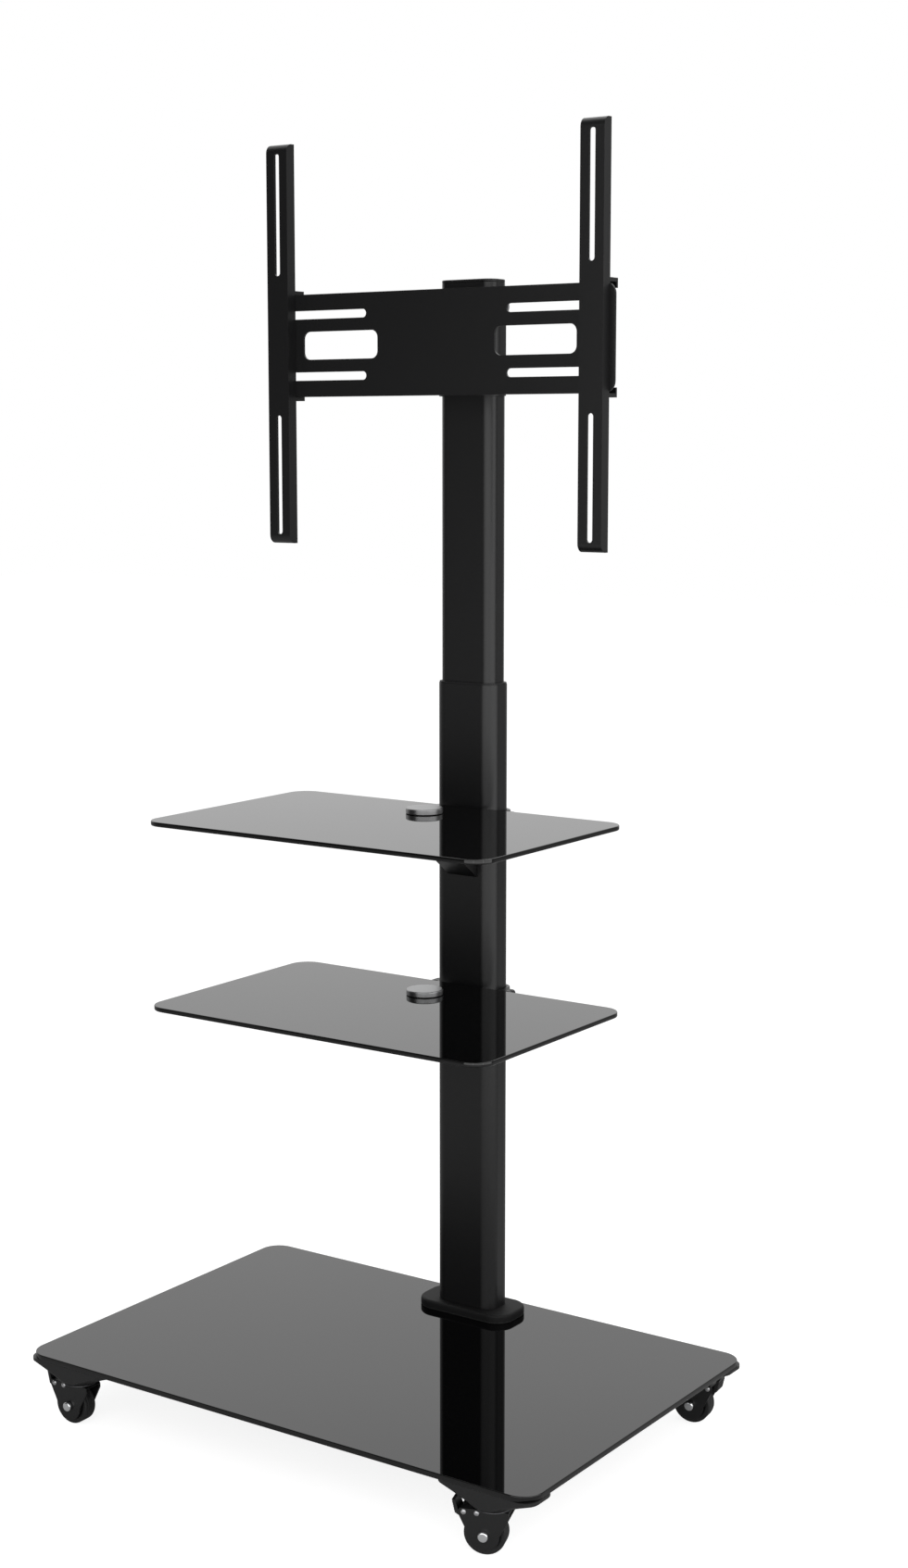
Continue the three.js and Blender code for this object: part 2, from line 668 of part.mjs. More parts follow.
function casters() {
  const shapes = {
    tyre: wheelTyre(),
    hub: wheelHub(),
    axle: casterAxle(),
    race: swivelRace(),
    fork: casterFork(),
    brake: brakeLever(),
    block: cornerBlock(),
  };
  const group = new THREE.Group();
  CASTERS.forEach((place) => group.add(caster(place, shapes)));
  return group;
}

// Foot of the mast, drawn about the mast's axis

function footBoltCutters(thickness, setback) {
  const length = (thickness + CUT_OVERRUN) * 2;
  const cutters = [];
  for (const side of [-1, 1]) {
    for (const end of [-1, 1]) {
      const x = (side * FOOT_BOLT_SPREAD_X) / 2;
      const y = setback + (end * FOOT_BOLT_SPREAD_Y) / 2;
      cutters.push(solid(moved(rod(FOOT_BOLT_RADIUS, length, BOLT_HOLE_SEGMENTS), x, y, 0)));
    }
  }
  return cutters;
}

function footOutline() {
  return roundedRectangle(FOOT_WIDTH, FOOT_DEPTH, FOOT_CORNER_RADIUS);
}

function footGasket() {
  return cut(solid(extruded(footOutline(), GASKET_THICKNESS)), footBoltCutters(GASKET_THICKNESS, 0));
}

function underPlate() {
  const plate = solid(extruded(footOutline(), UNDER_PLATE_THICKNESS));
  return cut(plate, footBoltCutters(UNDER_PLATE_THICKNESS, 0));
}

// Only the plate's upper edge is chamfered, so the plate is drawn deeper and trimmed at zero.
function footPlate() {
  const deep = chamfered(footOutline(), FOOT_THICKNESS + FOOT_CHAMFER, FOOT_CHAMFER);
  const plate = solid(moved(deep, 0, 0, -FOOT_CHAMFER)).trimByPlane([0, 0, 1], 0);
  const spigot = tubeOutline(TUBE_WALL + FIT_GAP);
  const block = solid(moved(extruded(spigot, FOOT_SPIGOT_HEIGHT), 0, 0, FOOT_THICKNESS));
  return cut(plate.add(block), footBoltCutters(FOOT_THICKNESS + PLUG_DEPTH, 0));
}

// Mast tubes and their plastic parts, drawn about the mast's axis

function tubeOutline(inset) {
  const width = OUTER_TUBE_WIDTH - inset * 2;
  const depth = OUTER_TUBE_DEPTH - inset * 2;
  return roundedRectangle(width, depth, OUTER_TUBE_RADIUS - inset);
}

function innerOutline(inset) {
  return tubeOutline(TUBE_STEP + inset);
}

function outerTube() {
  const section = ring(tubeOutline(0), tubeOutline(TUBE_WALL));
  const tube = solid(extruded(section, OUTER_TUBE_LENGTH, FINE_DIVISIONS));
  const height = OUTER_TUBE_LENGTH - LOCK_BELOW_TOP;
  const back = OUTER_TUBE_DEPTH / 2;
  const nutLength = LOCK_NUT_HEIGHT + TUBE_WALL / 2;
  const nut = rodForward(LOCK_NUT_RADIUS, nutLength);
  const nutPlace = back - TUBE_WALL / 2 + nutLength / 2;
  const hole = rodForward(LOCK_STUD_RADIUS + FIT_GAP, back);
  const withNut = tube.add(solid(moved(nut, 0, nutPlace, height)));
  return cut(withNut, [solid(moved(hole, 0, back, height))]);
}

function guideBush() {
  const bore = -FIT_GAP;
  const sleeve = ring(tubeOutline(TUBE_WALL + FIT_GAP), innerOutline(bore));
  const lip = ring(tubeOutline(BUSH_LIP_INSET), innerOutline(bore));
  const body = solid(moved(extruded(sleeve, BUSH_HEIGHT + BUSH_LIP_HEIGHT), 0, 0, -BUSH_HEIGHT));
  const hole = rodForward(LOCK_STUD_RADIUS + FIT_GAP, OUTER_TUBE_DEPTH / 2);
  const whole = body.add(solid(extruded(lip, BUSH_LIP_HEIGHT)));
  return cut(whole, [solid(moved(hole, 0, OUTER_TUBE_DEPTH / 2, -LOCK_BELOW_TOP))]);
}

function innerTube() {
  const section = ring(innerOutline(0), innerOutline(TUBE_WALL));
  const tube = solid(extruded(section, INNER_TUBE_LENGTH, FINE_DIVISIONS));
  const back = INNER_TUBE_DEPTH / 2;
  const lockLevel = LOCK_HEIGHT - INNER_TUBE_BOTTOM;
  const cutters = [];
  const indexHole = rodForward(INDEX_HOLE_RADIUS, back, BOLT_HOLE_SEGMENTS);
  for (const step of INDEX_HOLE_STEPS) {
    cutters.push(solid(moved(indexHole, 0, back, lockLevel + step * INDEX_HOLE_PITCH)));
  }
  const boltLevel = SCREEN_CENTRE - INNER_TUBE_BOTTOM;
  for (const end of [-1, 1]) {
    const hole = rodAcross(SADDLE_BOLT_RADIUS + FIT_GAP, INNER_TUBE_WIDTH + CUT_OVERRUN * 2);
    cutters.push(solid(moved(hole, 0, 0, boltLevel + (end * SADDLE_BOLT_SPREAD) / 2)));
  }
  return cut(tube, cutters);
}

function mastGlide() {
  const flange = solid(extruded(tubeOutline(TUBE_WALL + FIT_GAP), GLIDE_FLANGE));
  const plug = extruded(innerOutline(TUBE_WALL + FIT_GAP), PLUG_DEPTH);
  return flange.add(solid(moved(plug, 0, 0, GLIDE_FLANGE)));
}

function mastCap() {
  const lid = solid(extruded(innerOutline(0), CAP_THICKNESS));
  const plug = extruded(innerOutline(TUBE_WALL + FIT_GAP), PLUG_DEPTH);
  return lid.add(solid(moved(plug, 0, 0, -PLUG_DEPTH)));
}

// Lobed knob: its grip stands on zero and its thickness runs up Z

function knobGrip(radius, thickness) {
  const points = [];
  for (let i = 0; i < KNOB_POINTS; i += 1) {
    const angle = (i / KNOB_POINTS) * Math.PI * 2;
    const dip = (1 - Math.cos(angle * KNOB_LOBES)) / 2;
    const reach = radius * (1 - KNOB_LOBE_SHARE * dip);
    points.push([reach * Math.cos(angle), reach * Math.sin(angle)]);
  }
  return chamfered(polygon(points), thickness, KNOB_EDGE);
}

function mastKnob() {
  const tip = INNER_TUBE_DEPTH / 2 + FIT_GAP;
  const seat = OUTER_TUBE_DEPTH / 2 + LOCK_NUT_HEIGHT + FIT_GAP;
  const length = seat - tip + MAST_KNOB_THICKNESS / 2;
  const stud = moved(rodForward(LOCK_STUD_RADIUS, length), 0, tip + length / 2, 0);
  const grip = forward(knobGrip(MAST_KNOB_RADIUS, MAST_KNOB_THICKNESS));
  return solid(moved(grip, 0, seat + MAST_KNOB_THICKNESS, 0)).add(solid(stud));
}

function mast() {
  const group = new THREE.Group();
  const lay = (name, body, material, height) => {
    const mesh = piece(name, body, material);
    mesh.position.z = height;
    group.add(mesh);
  };
  lay("under_plate", underPlate(), darkSteel, BASE_UNDERSIDE - UNDER_PLATE_THICKNESS);
  lay("foot_gasket", footGasket(), blackRubber, BASE_TOP);
  lay("foot_plate", footPlate(), blackPaint, FOOT_BOTTOM);
  lay("outer_tube", outerTube(), blackPaint, FOOT_TOP);
  lay("guide_bush", guideBush(), blackPlastic, OUTER_TUBE_TOP);
  lay("mast_knob", mastKnob(), blackPlastic, LOCK_HEIGHT);
  lay("inner_tube", innerTube(), blackPaint, INNER_TUBE_BOTTOM);
  lay("mast_glide", mastGlide(), blackPlastic, INNER_TUBE_BOTTOM - GLIDE_FLANGE);
  lay("mast_cap", mastCap(), blackPlastic, INNER_TUBE_TOP);
  return group;
}

// Shelf supports, drawn about the mast's axis with zero at the top of the glass

// One half of the clamp round the tube, towards +Y for side 1 and towards -Y for side -1.
function collarHalf(side) {
  const grown = -FIT_GAP - COLLAR_WALL;
  const band = solid(extruded(ring(tubeOutline(grown), tubeOutline(-FIT_GAP)), COLLAR_HEIGHT));
  const split = (side * COLLAR_SPLIT) / 2;
  const half = band.trimByPlane([0, side, 0], COLLAR_SPLIT / 2);
  const earStart = OUTER_TUBE_WIDTH / 2 + FIT_GAP + COLLAR_WALL / 2;
  const earEnd = OUTER_TUBE_WIDTH / 2 + EAR_REACH;
  const earShape = roundedRectangle((earEnd - earStart) * 2, COLLAR_HEIGHT, EAR_CORNER_RADIUS);
  const wing = forward(extruded(earShape, EAR_THICKNESS));
  const earBack = side > 0 ? split + EAR_THICKNESS : split;
  const hole = rodForward(EAR_HOLE_RADIUS, (EAR_THICKNESS + CUT_OVERRUN) * 2);
  const holes = [];
  const ears = [];
  const tubeSpace = extruded(tubeOutline(-FIT_GAP), COLLAR_HEIGHT + CUT_OVERRUN * 2);
  const clear = solid(moved(tubeSpace, 0, 0, -CUT_OVERRUN));
  for (const end of [-1, 1]) {
    ears.push(cut(solid(moved(wing, end * earStart, earBack, COLLAR_HEIGHT / 2)), [clear]));
    holes.push(solid(moved(hole, end * (earEnd - EAR_HOLE_INSET), split, COLLAR_HEIGHT / 2)));
  }
  return cut(join([half, ...ears]), holes).translate([0, 0, COLLAR_TOP - COLLAR_HEIGHT]);
}

function armPlate() {
  const shape = new THREE.Shape();
  shape.absarc(0, -SHELF_BOLT_REACH, ARM_PLATE_RADIUS, Math.PI, Math.PI * 2);
  shape.lineTo(ARM_PLATE_RADIUS, -COLLAR_INNER_FACE - COLLAR_WALL / 2);
  shape.lineTo(-ARM_PLATE_RADIUS, -COLLAR_INNER_FACE - COLLAR_WALL / 2);
  return solid(moved(extruded(shape, ARM_PLATE_THICKNESS, CORNER_DIVISIONS * 2), 0, 0, PLATE_UNDERSIDE));
}

// The beam is a hollow wedge: deep at the tube, shallow at its tip, open towards the tube.
function armBeam() {
  const tip = -SHELF_BOLT_REACH - ARM_BEAM_TIP;
  const root = -COLLAR_INNER_FACE;
  const tipBottom = PLATE_UNDERSIDE - ARM_TIP_DEPTH;
  const rootBottom = PLATE_UNDERSIDE - ARM_ROOT_DEPTH;
  const plateMiddle = PLATE_UNDERSIDE + ARM_PLATE_THICKNESS / 2;
  const slope = (rootBottom - tipBottom) / (root - tip);
  const floor = ARM_WALL * Math.hypot(1, slope);
  const outer = polygon([
    [tip, plateMiddle],
    [tip, tipBottom],
    [root, rootBottom],
    [root, plateMiddle],
  ]);
  const innerTip = tip + (floor + ARM_WALL - ARM_TIP_DEPTH) / -slope;
  const innerRoot = root + CUT_OVERRUN;
  const inner = polygon([
    [innerTip, PLATE_UNDERSIDE],
    [innerTip, PLATE_UNDERSIDE - ARM_WALL],
    [innerRoot, tipBottom + slope * (innerRoot - tip) + floor],
    [innerRoot, PLATE_UNDERSIDE],
  ]);
  const innerWidth = ARM_BEAM_WIDTH - ARM_WALL * 2;
  return {
    body: solid(moved(acrossX(extruded(outer, ARM_BEAM_WIDTH)), -ARM_BEAM_WIDTH / 2, 0, 0)),
    hollow: solid(moved(acrossX(extruded(inner, innerWidth)), -innerWidth / 2, 0, 0)),
  };
}

function shelfArm() {
  const beam = armBeam();
  const hole = rod(SHELF_BOLT_RADIUS + FIT_GAP, ARM_PLATE_THICKNESS + CUT_OVERRUN * 2);
  const boltHole = solid(moved(hole, 0, -SHELF_BOLT_REACH, PLATE_UNDERSIDE + ARM_PLATE_THICKNESS / 2));
  return cut(join([armPlate(), beam.body, collarHalf(-1)]), [beam.hollow, boltHole]);
}

function boltRing(radius, thickness) {
  return turned([
    [GLASS_HOLE_RADIUS, 0],
    [radius, 0],
    [radius, thickness],
    [GLASS_HOLE_RADIUS, thickness],
    [GLASS_HOLE_RADIUS, 0],
  ]);
}

function shelfDisc() {
  const stud = PLATE_UNDERSIDE - WASHER_THICKNESS - DISC_STUD_BELOW_PLATE;
  const profile = [
    [0, stud],
    [SHELF_BOLT_RADIUS, stud],
    [SHELF_BOLT_RADIUS, 0],
    [DISC_RADIUS, 0],
    [DISC_RADIUS, DISC_HEIGHT - DISC_ROUNDING],
    [DISC_RADIUS - DISC_ROUNDING, DISC_HEIGHT],
    [0, DISC_HEIGHT],
  ];
  return turned(profile, WHEEL_SEGMENTS);
}

function shelf(level, height, shapes) {
  const group = new THREE.Group();
  const lay = (name, body, material, reach, lift) => {
    const mesh = piece(`${level}_shelf_${name}`, body, material);
    mesh.position.set(0, -reach, lift);
    group.add(mesh);
  };
  lay("glass", shapes.glass, blackGlass, 0, 0);
  lay("arm", shapes.arm, blackPaint, 0, 0);
  lay("band", shapes.band, blackPaint, 0, 0);
  lay("pad", shapes.pad, blackRubber, SHELF_BOLT_REACH, PLATE_TOP);
  lay("washer", shapes.washer, blackRubber, SHELF_BOLT_REACH, 0);
  lay("disc", shapes.disc, brightSteel, SHELF_BOLT_REACH, WASHER_THICKNESS);
  group.position.z = height;
  return group;
}

function shelves() {
  const shapes = {
    glass: shelfGlass(),
    arm: shelfArm(),
    band: collarHalf(1),
    pad: boltRing(PAD_RADIUS, PAD_THICKNESS),
    washer: boltRing(WASHER_RADIUS, WASHER_THICKNESS),
    disc: shelfDisc(),
  };
  const group = new THREE.Group();
  group.add(shelf("upper", UPPER_SHELF_TOP, shapes));
  group.add(shelf("lower", LOWER_SHELF_TOP, shapes));
  return group;
}

// Head, drawn about the mast's axis with zero at the middle of the screen plate

function swivelLug(bottom) {
  const shape = new THREE.Shape();
  const root = INNER_TUBE_DEPTH / 2 + FIT_GAP + SADDLE_WALL / 2;
  shape.absarc(0, -PIN_DISTANCE, LUG_RADIUS, Math.PI, Math.PI * 2);
  shape.lineTo(LUG_RADIUS, -root);
  shape.lineTo(-LUG_RADIUS, -root);
  return solid(moved(extruded(shape, LUG_THICKNESS), 0, 0, bottom));
}

function headSaddle() {
  const wall = ring(innerOutline(-FIT_GAP - SADDLE_WALL), innerOutline(-FIT_GAP));
  const sleeve = solid(moved(extruded(wall, SADDLE_HEIGHT), 0, 0, -SADDLE_HEIGHT / 2));
  const channel = sleeve.trimByPlane([0, -1, 0], -SADDLE_BEHIND_MIDDLE);
  const lugs = [swivelLug(LUG_SPREAD / 2), swivelLug(-LUG_SPREAD / 2 - LUG_THICKNESS)];
  const pinLength = LUG_SPREAD + LUG_THICKNESS * 2 + CUT_OVERRUN * 2;
  const boltHoleLength = INNER_TUBE_WIDTH + (FIT_GAP + SADDLE_WALL + CUT_OVERRUN) * 2;
  const cutters = [solid(moved(rod(PIN_RADIUS + FIT_GAP, pinLength), 0, -PIN_DISTANCE, 0))];
  for (const end of [-1, 1]) {
    const hole = rodAcross(SADDLE_BOLT_RADIUS + FIT_GAP, boltHoleLength);
    cutters.push(solid(moved(hole, 0, 0, (end * SADDLE_BOLT_SPREAD) / 2)));
  }
  return cut(join([channel, ...lugs]), cutters);
}

// A straight bolt with a head at each end, drawn along Z about its middle.
function throughBolt(radius, grip, headRadius, headHeight) {
  const half = grip / 2;
  return turned(
    [
      [0, -half - headHeight],
      [headRadius, -half - headHeight],
      [headRadius, -half],
      [radius, -half],
      [radius, half],
      [headRadius, half],
      [headRadius, half + headHeight],
      [0, half + headHeight],
    ],
    HOLE_SEGMENTS,
  );
}

function saddleBolt() {
  const grip = INNER_TUBE_WIDTH + (FIT_GAP + SADDLE_WALL) * 2;
  return throughBolt(SADDLE_BOLT_RADIUS, grip, SADDLE_BOLT_HEAD_RADIUS, SADDLE_BOLT_HEAD_HEIGHT);
}

function swivelPin() {
  return throughBolt(PIN_RADIUS, LUG_SPREAD + LUG_THICKNESS * 2, PIN_HEAD_RADIUS, PIN_HEAD_HEIGHT);
}

// A tilt ear drawn in Y and Z: it runs from its plate to a round end about the tilt axis.
function tiltEar(plateDistance, thickness, start) {
  const shape = new THREE.Shape();
  const frontSide = plateDistance < TILT_DISTANCE;
  const half = (frontSide ? YOKE_HEIGHT : -YOKE_HEIGHT) / 2;
  const from = frontSide ? RIGHT_ANGLE : -RIGHT_ANGLE;
  shape.absarc(-TILT_DISTANCE, 0, TILT_EAR_RADIUS, from, from + Math.PI);
  shape.lineTo(-plateDistance, -half);
  shape.lineTo(-plateDistance, half);
  return solid(moved(acrossX(extruded(shape, thickness)), start, 0, 0));
}

function tiltHole() {
  const hole = rodAcross(TILT_BOLT_RADIUS + FIT_GAP, SCREEN_EAR_OUTER * 2 + CUT_OVERRUN * 2);
  return solid(moved(hole, 0, -TILT_DISTANCE, 0));
}

function swivelKnuckle() {
  const barrel = solid(moved(rod(BARREL_RADIUS, LUG_SPREAD - FIT_GAP * 2), 0, -PIN_DISTANCE, 0));
  const neckLength = YOKE_BACK - PIN_DISTANCE + YOKE_THICKNESS / 2;
  const neckPlace = -PIN_DISTANCE - neckLength / 2;
  const neck = solid(moved(box(NECK_WIDTH, neckLength, NECK_HEIGHT), 0, neckPlace, 0));
  const shape = roundedRectangle(YOKE_WIDTH, YOKE_HEIGHT, YOKE_CORNER_RADIUS);
  const yoke = solid(moved(forward(extruded(shape, YOKE_THICKNESS)), 0, -YOKE_BACK, 0));
  const earRoot = YOKE_BACK + YOKE_THICKNESS / 2;
  const ears = [
    tiltEar(earRoot, YOKE_EAR_THICKNESS, YOKE_WIDTH / 2 - YOKE_EAR_THICKNESS),
    tiltEar(earRoot, YOKE_EAR_THICKNESS, -YOKE_WIDTH / 2),
  ];
  const pinBore = rod(PIN_RADIUS + FIT_GAP, LUG_SPREAD + CUT_OVERRUN * 2);
  const bore = solid(moved(pinBore, 0, -PIN_DISTANCE, 0));
  return cut(join([barrel, neck, yoke, ...ears]), [bore, tiltHole()]);
}

function tiltBolt() {
  const end = SCREEN_EAR_OUTER + FIT_GAP + TILT_BOLT_IN_KNOB;
  const start = -SCREEN_EAR_OUTER;
  return turned(
    [
      [0, start - TILT_BOLT_HEAD_HEIGHT],
      [TILT_BOLT_HEAD_RADIUS, start - TILT_BOLT_HEAD_HEIGHT],
      [TILT_BOLT_HEAD_RADIUS, start],
      [TILT_BOLT_RADIUS, start],
      [TILT_BOLT_RADIUS, end],
      [0, end],
    ],
    HOLE_SEGMENTS,
  ).rotateY(RIGHT_ANGLE);
}

function tiltKnob() {
  const grip = solid(acrossX(knobGrip(TILT_KNOB_RADIUS, TILT_KNOB_THICKNESS)));
  const boreDepth = TILT_BOLT_IN_KNOB + FIT_GAP;
  return cut(grip, [solid(rodAcross(TILT_BOLT_RADIUS + FIT_GAP, boreDepth * 2))]);
}

// Flat parts of the screen plate are drawn in X and Z, with their thickness towards -Y.

function plateCutters() {
  const depth = SCREEN_PLATE_THICKNESS + CUT_OVERRUN * 2;
  const back = -SCREEN_PLATE_BACK + CUT_OVERRUN;
  const slotCutter = forward(extruded(slot(PLATE_SLOT_LENGTH, PLATE_SLOT_WIDTH), depth));
  const window = roundedRectangle(PLATE_WINDOW_LENGTH, PLATE_WINDOW_HEIGHT, PLATE_WINDOW_RADIUS);
  const windowCutter = forward(extruded(window, depth, COARSE_DIVISIONS));
  const cutters = [];
  for (const side of [-1, 1]) {
    cutters.push(solid(moved(windowCutter, side * PLATE_WINDOW_CENTRE, back, 0)));
    for (const end of [-1, 1]) {
      const height = (end * PLATE_SLOT_SPREAD) / 2;
      cutters.push(solid(moved(slotCutter, side * PLATE_SLOT_CENTRE, back, height)));
    }
  }
  return cutters;
}

function screenPlate() {
  const shape = roundedRectangle(SCREEN_PLATE_WIDTH, SCREEN_PLATE_HEIGHT, SCREEN_PLATE_CORNER_RADIUS);
  const web = solid(moved(forward(extruded(shape, SCREEN_PLATE_THICKNESS)), 0, -SCREEN_PLATE_BACK, 0));
  const flangeDepth = SCREEN_FLANGE_DEPTH + SCREEN_PLATE_THICKNESS / 2;
  const flange = box(SCREEN_FLANGE_LENGTH, flangeDepth, SCREEN_PLATE_THICKNESS);
  const flangePlace = -SCREEN_PLATE_BACK + SCREEN_FLANGE_DEPTH - flangeDepth / 2;
  const flangeHeight = (SCREEN_PLATE_HEIGHT - SCREEN_PLATE_THICKNESS) / 2;
  const earRoot = SCREEN_PLATE_BACK + SCREEN_PLATE_THICKNESS / 2;
  const parts = [
    cut(web, plateCutters()),
    solid(moved(flange, 0, flangePlace, flangeHeight)),
    solid(moved(flange, 0, flangePlace, -flangeHeight)),
    tiltEar(earRoot, SCREEN_EAR_THICKNESS, SCREEN_EAR_INNER),
    tiltEar(earRoot, SCREEN_EAR_THICKNESS, -SCREEN_EAR_OUTER),
  ];
  return cut(join(parts), [tiltHole()]);
}

// A pressed channel, open towards the plate, with hooks over the plate's flanges.
function screenArm() {
  const half = SCREEN_ARM_LENGTH / 2;
  const nose = half - SCREEN_ARM_NOSE_RADIUS;
  const noseY = -SCREEN_ARM_FRONT + SCREEN_ARM_NOSE_RADIUS;
  const side = new THREE.Shape();
  side.absarc(noseY, nose, SCREEN_ARM_NOSE_RADIUS, RIGHT_ANGLE, Math.PI);
  side.absarc(noseY, -nose, SCREEN_ARM_NOSE_RADIUS, Math.PI, RIGHT_ANGLE * 3);
  side.lineTo(-SCREEN_PLATE_FRONT, -half);
  side.lineTo(-SCREEN_PLATE_FRONT, half);
  const outer = solid(moved(acrossX(extruded(side, SCREEN_ARM_WIDTH)), -SCREEN_ARM_WIDTH / 2, 0, 0));
  const innerWidth = SCREEN_ARM_WIDTH - SCREEN_ARM_WALL * 2;
  const innerLength = (half - SCREEN_ARM_NOSE_RADIUS) * 2;
  const hollowDepth = SCREEN_ARM_DEPTH - SCREEN_ARM_WALL + CUT_OVERRUN;
  const hollow = box(innerWidth, hollowDepth, innerLength);
  const hollowPlace = -SCREEN_ARM_FRONT + SCREEN_ARM_WALL + hollowDepth / 2;
  const cutters = [solid(moved(hollow, 0, hollowPlace, 0))];
  const depth = SCREEN_ARM_WALL + CUT_OVERRUN * 2;
  const slotBack = -SCREEN_ARM_FRONT + SCREEN_ARM_WALL + CUT_OVERRUN;
  const upright = extruded(slot(ARM_SLOT_LENGTH, ARM_SLOT_WIDTH), depth).rotateZ(RIGHT_ANGLE);
  for (const end of [-1, 1]) {
    cutters.push(solid(moved(forward(upright), 0, slotBack, (end * ARM_SLOT_SPREAD) / 2)));
  }
  return cut(outer, cutters).add(armHook(1)).add(armHook(-1));
}

function armHook(end) {
  const tongueBack = SCREEN_PLATE_BACK - SCREEN_FLANGE_DEPTH - FIT_GAP - HOOK_LIP_THICKNESS;
  const tongueFront = SCREEN_PLATE_FRONT + HOOK_ROOT;
  const length = tongueFront - tongueBack;
  const seat = SCREEN_PLATE_HEIGHT / 2 + FIT_GAP;
  const tongue = box(SCREEN_ARM_WIDTH, length, HOOK_THICKNESS);
  const tonguePlace = -(tongueFront + tongueBack) / 2;
  const lipHeight = HOOK_THICKNESS + HOOK_LIP_DEPTH;
  const lip = box(SCREEN_ARM_WIDTH, HOOK_LIP_THICKNESS, lipHeight);
  const lipPlace = -tongueBack - HOOK_LIP_THICKNESS / 2;
  const lipCentre = seat + HOOK_THICKNESS - lipHeight / 2;
  return join([
    solid(moved(tongue, 0, tonguePlace, end * (seat + HOOK_THICKNESS / 2))),
    solid(moved(lip, 0, lipPlace, end * lipCentre)),
  ]);
}

function head() {
  const group = new THREE.Group();
  group.add(piece("head_saddle", headSaddle(), blackPaint));
  group.add(piece("swivel_knuckle", swivelKnuckle(), blackPaint));
  group.add(piece("screen_plate", screenPlate(), blackPaint));
  const pin = piece("swivel_pin", swivelPin(), brightSteel);
  pin.position.y = -PIN_DISTANCE;
  const bolt = piece("tilt_bolt", tiltBolt(), brightSteel);
  bolt.position.y = -TILT_DISTANCE;
  const knob = piece("tilt_knob", tiltKnob(), blackPlastic);
  knob.position.set(SCREEN_EAR_OUTER + FIT_GAP, -TILT_DISTANCE, 0);
  group.add(pin, bolt, knob);
  const boltShape = saddleBolt().rotateY(RIGHT_ANGLE);
  [["upper", 1], ["lower", -1]].forEach(([name, end]) => {
    const through = piece(`saddle_bolt_${name}`, boltShape, brightSteel);
    through.position.z = (end * SADDLE_BOLT_SPREAD) / 2;
    group.add(through);
  });
  const armShape = geometryOf(screenArm());
  [["left", -1], ["right", 1]].forEach(([name, side]) => {
    const arm = piece(`screen_arm_${name}`, armShape, blackPaint);
    arm.position.x = (side * SCREEN_ARM_SPACING) / 2;
    group.add(arm);
  });
  group.position.z = SCREEN_CENTRE;
  return group;
}

// The whole stand

const stand = new THREE.Group();
const glass = piece("base_glass", baseGlass(), blackGlass);
glass.position.z = BASE_UNDERSIDE;
const onMast = new THREE.Group();
onMast.position.y = MAST_SETBACK;
onMast.add(mast(), shelves(), head());
stand.add(glass, casters(), onMast);

export default stand;
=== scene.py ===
import json
import math

import bmesh
import bpy
from mathutils import Matrix, Vector

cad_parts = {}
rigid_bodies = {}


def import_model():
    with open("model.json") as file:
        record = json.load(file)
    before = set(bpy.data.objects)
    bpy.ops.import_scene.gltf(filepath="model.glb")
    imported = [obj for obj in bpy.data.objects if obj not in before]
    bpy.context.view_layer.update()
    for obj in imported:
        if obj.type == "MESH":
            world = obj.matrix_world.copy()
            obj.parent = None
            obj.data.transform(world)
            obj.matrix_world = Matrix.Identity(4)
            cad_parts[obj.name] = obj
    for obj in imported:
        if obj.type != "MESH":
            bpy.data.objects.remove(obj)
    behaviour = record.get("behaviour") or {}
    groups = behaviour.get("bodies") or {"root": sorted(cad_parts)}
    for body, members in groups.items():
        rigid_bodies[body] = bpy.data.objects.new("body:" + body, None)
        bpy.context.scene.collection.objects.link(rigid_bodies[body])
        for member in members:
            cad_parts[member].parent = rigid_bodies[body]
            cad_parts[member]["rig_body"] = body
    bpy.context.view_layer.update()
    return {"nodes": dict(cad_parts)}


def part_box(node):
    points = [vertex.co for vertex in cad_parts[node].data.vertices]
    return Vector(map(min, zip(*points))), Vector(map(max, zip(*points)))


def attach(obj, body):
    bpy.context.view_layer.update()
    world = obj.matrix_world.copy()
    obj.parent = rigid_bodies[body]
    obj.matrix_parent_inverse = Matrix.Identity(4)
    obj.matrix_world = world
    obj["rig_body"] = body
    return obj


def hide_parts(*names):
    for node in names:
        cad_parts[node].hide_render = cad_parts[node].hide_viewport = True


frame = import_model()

# Wheeled screen stand: polished black glass, satin black tubes and brackets, chromed discs.
# Sizes are in millimetres and become metres when a piece is made. The front is -Y.
# A piece that stands for a solid has the solid's name and a last word for how it is made.

MM = 0.001
QUARTER = math.pi / 2
FULL_TURN = math.pi * 2
TINY = 0.001
SIDES = (-1, 1)
SHELVES = ("upper_shelf", "lower_shelf")

# Smoothness, with angles in degrees
CORNER_STEPS = 10
FINE_STEPS = 20
ARM_PLATE_STEPS = 30
GLASS_CORNER_STEPS = 24
EDGE_STEPS = 3
ROUND_STEPS = 48
DISC_STEPS = 96
HOLE_STEPS = 24
SOFTENING_STEPS = 4
SHARP_ANGLE = 38
FLAT_ANGLE = 0.5
BEVEL_ANGLE = 32
BEVEL_SEGMENTS = 3
RIM_ANGLE = 60
RIM_SEGMENTS = 2

# Cutters, welds and fits
OVERRUN = 2
OVERLAP = 1
FIT_GAP = 0.3

# Glass
GLASS_CORNER_RADIUS = 23
GLASS_ARRIS = 0.9
GLASS_HOLE_RADIUS = 5
FOOT_BOLT_RADIUS = 4.2
FOOT_BOLT_SPREAD = (48, 17)

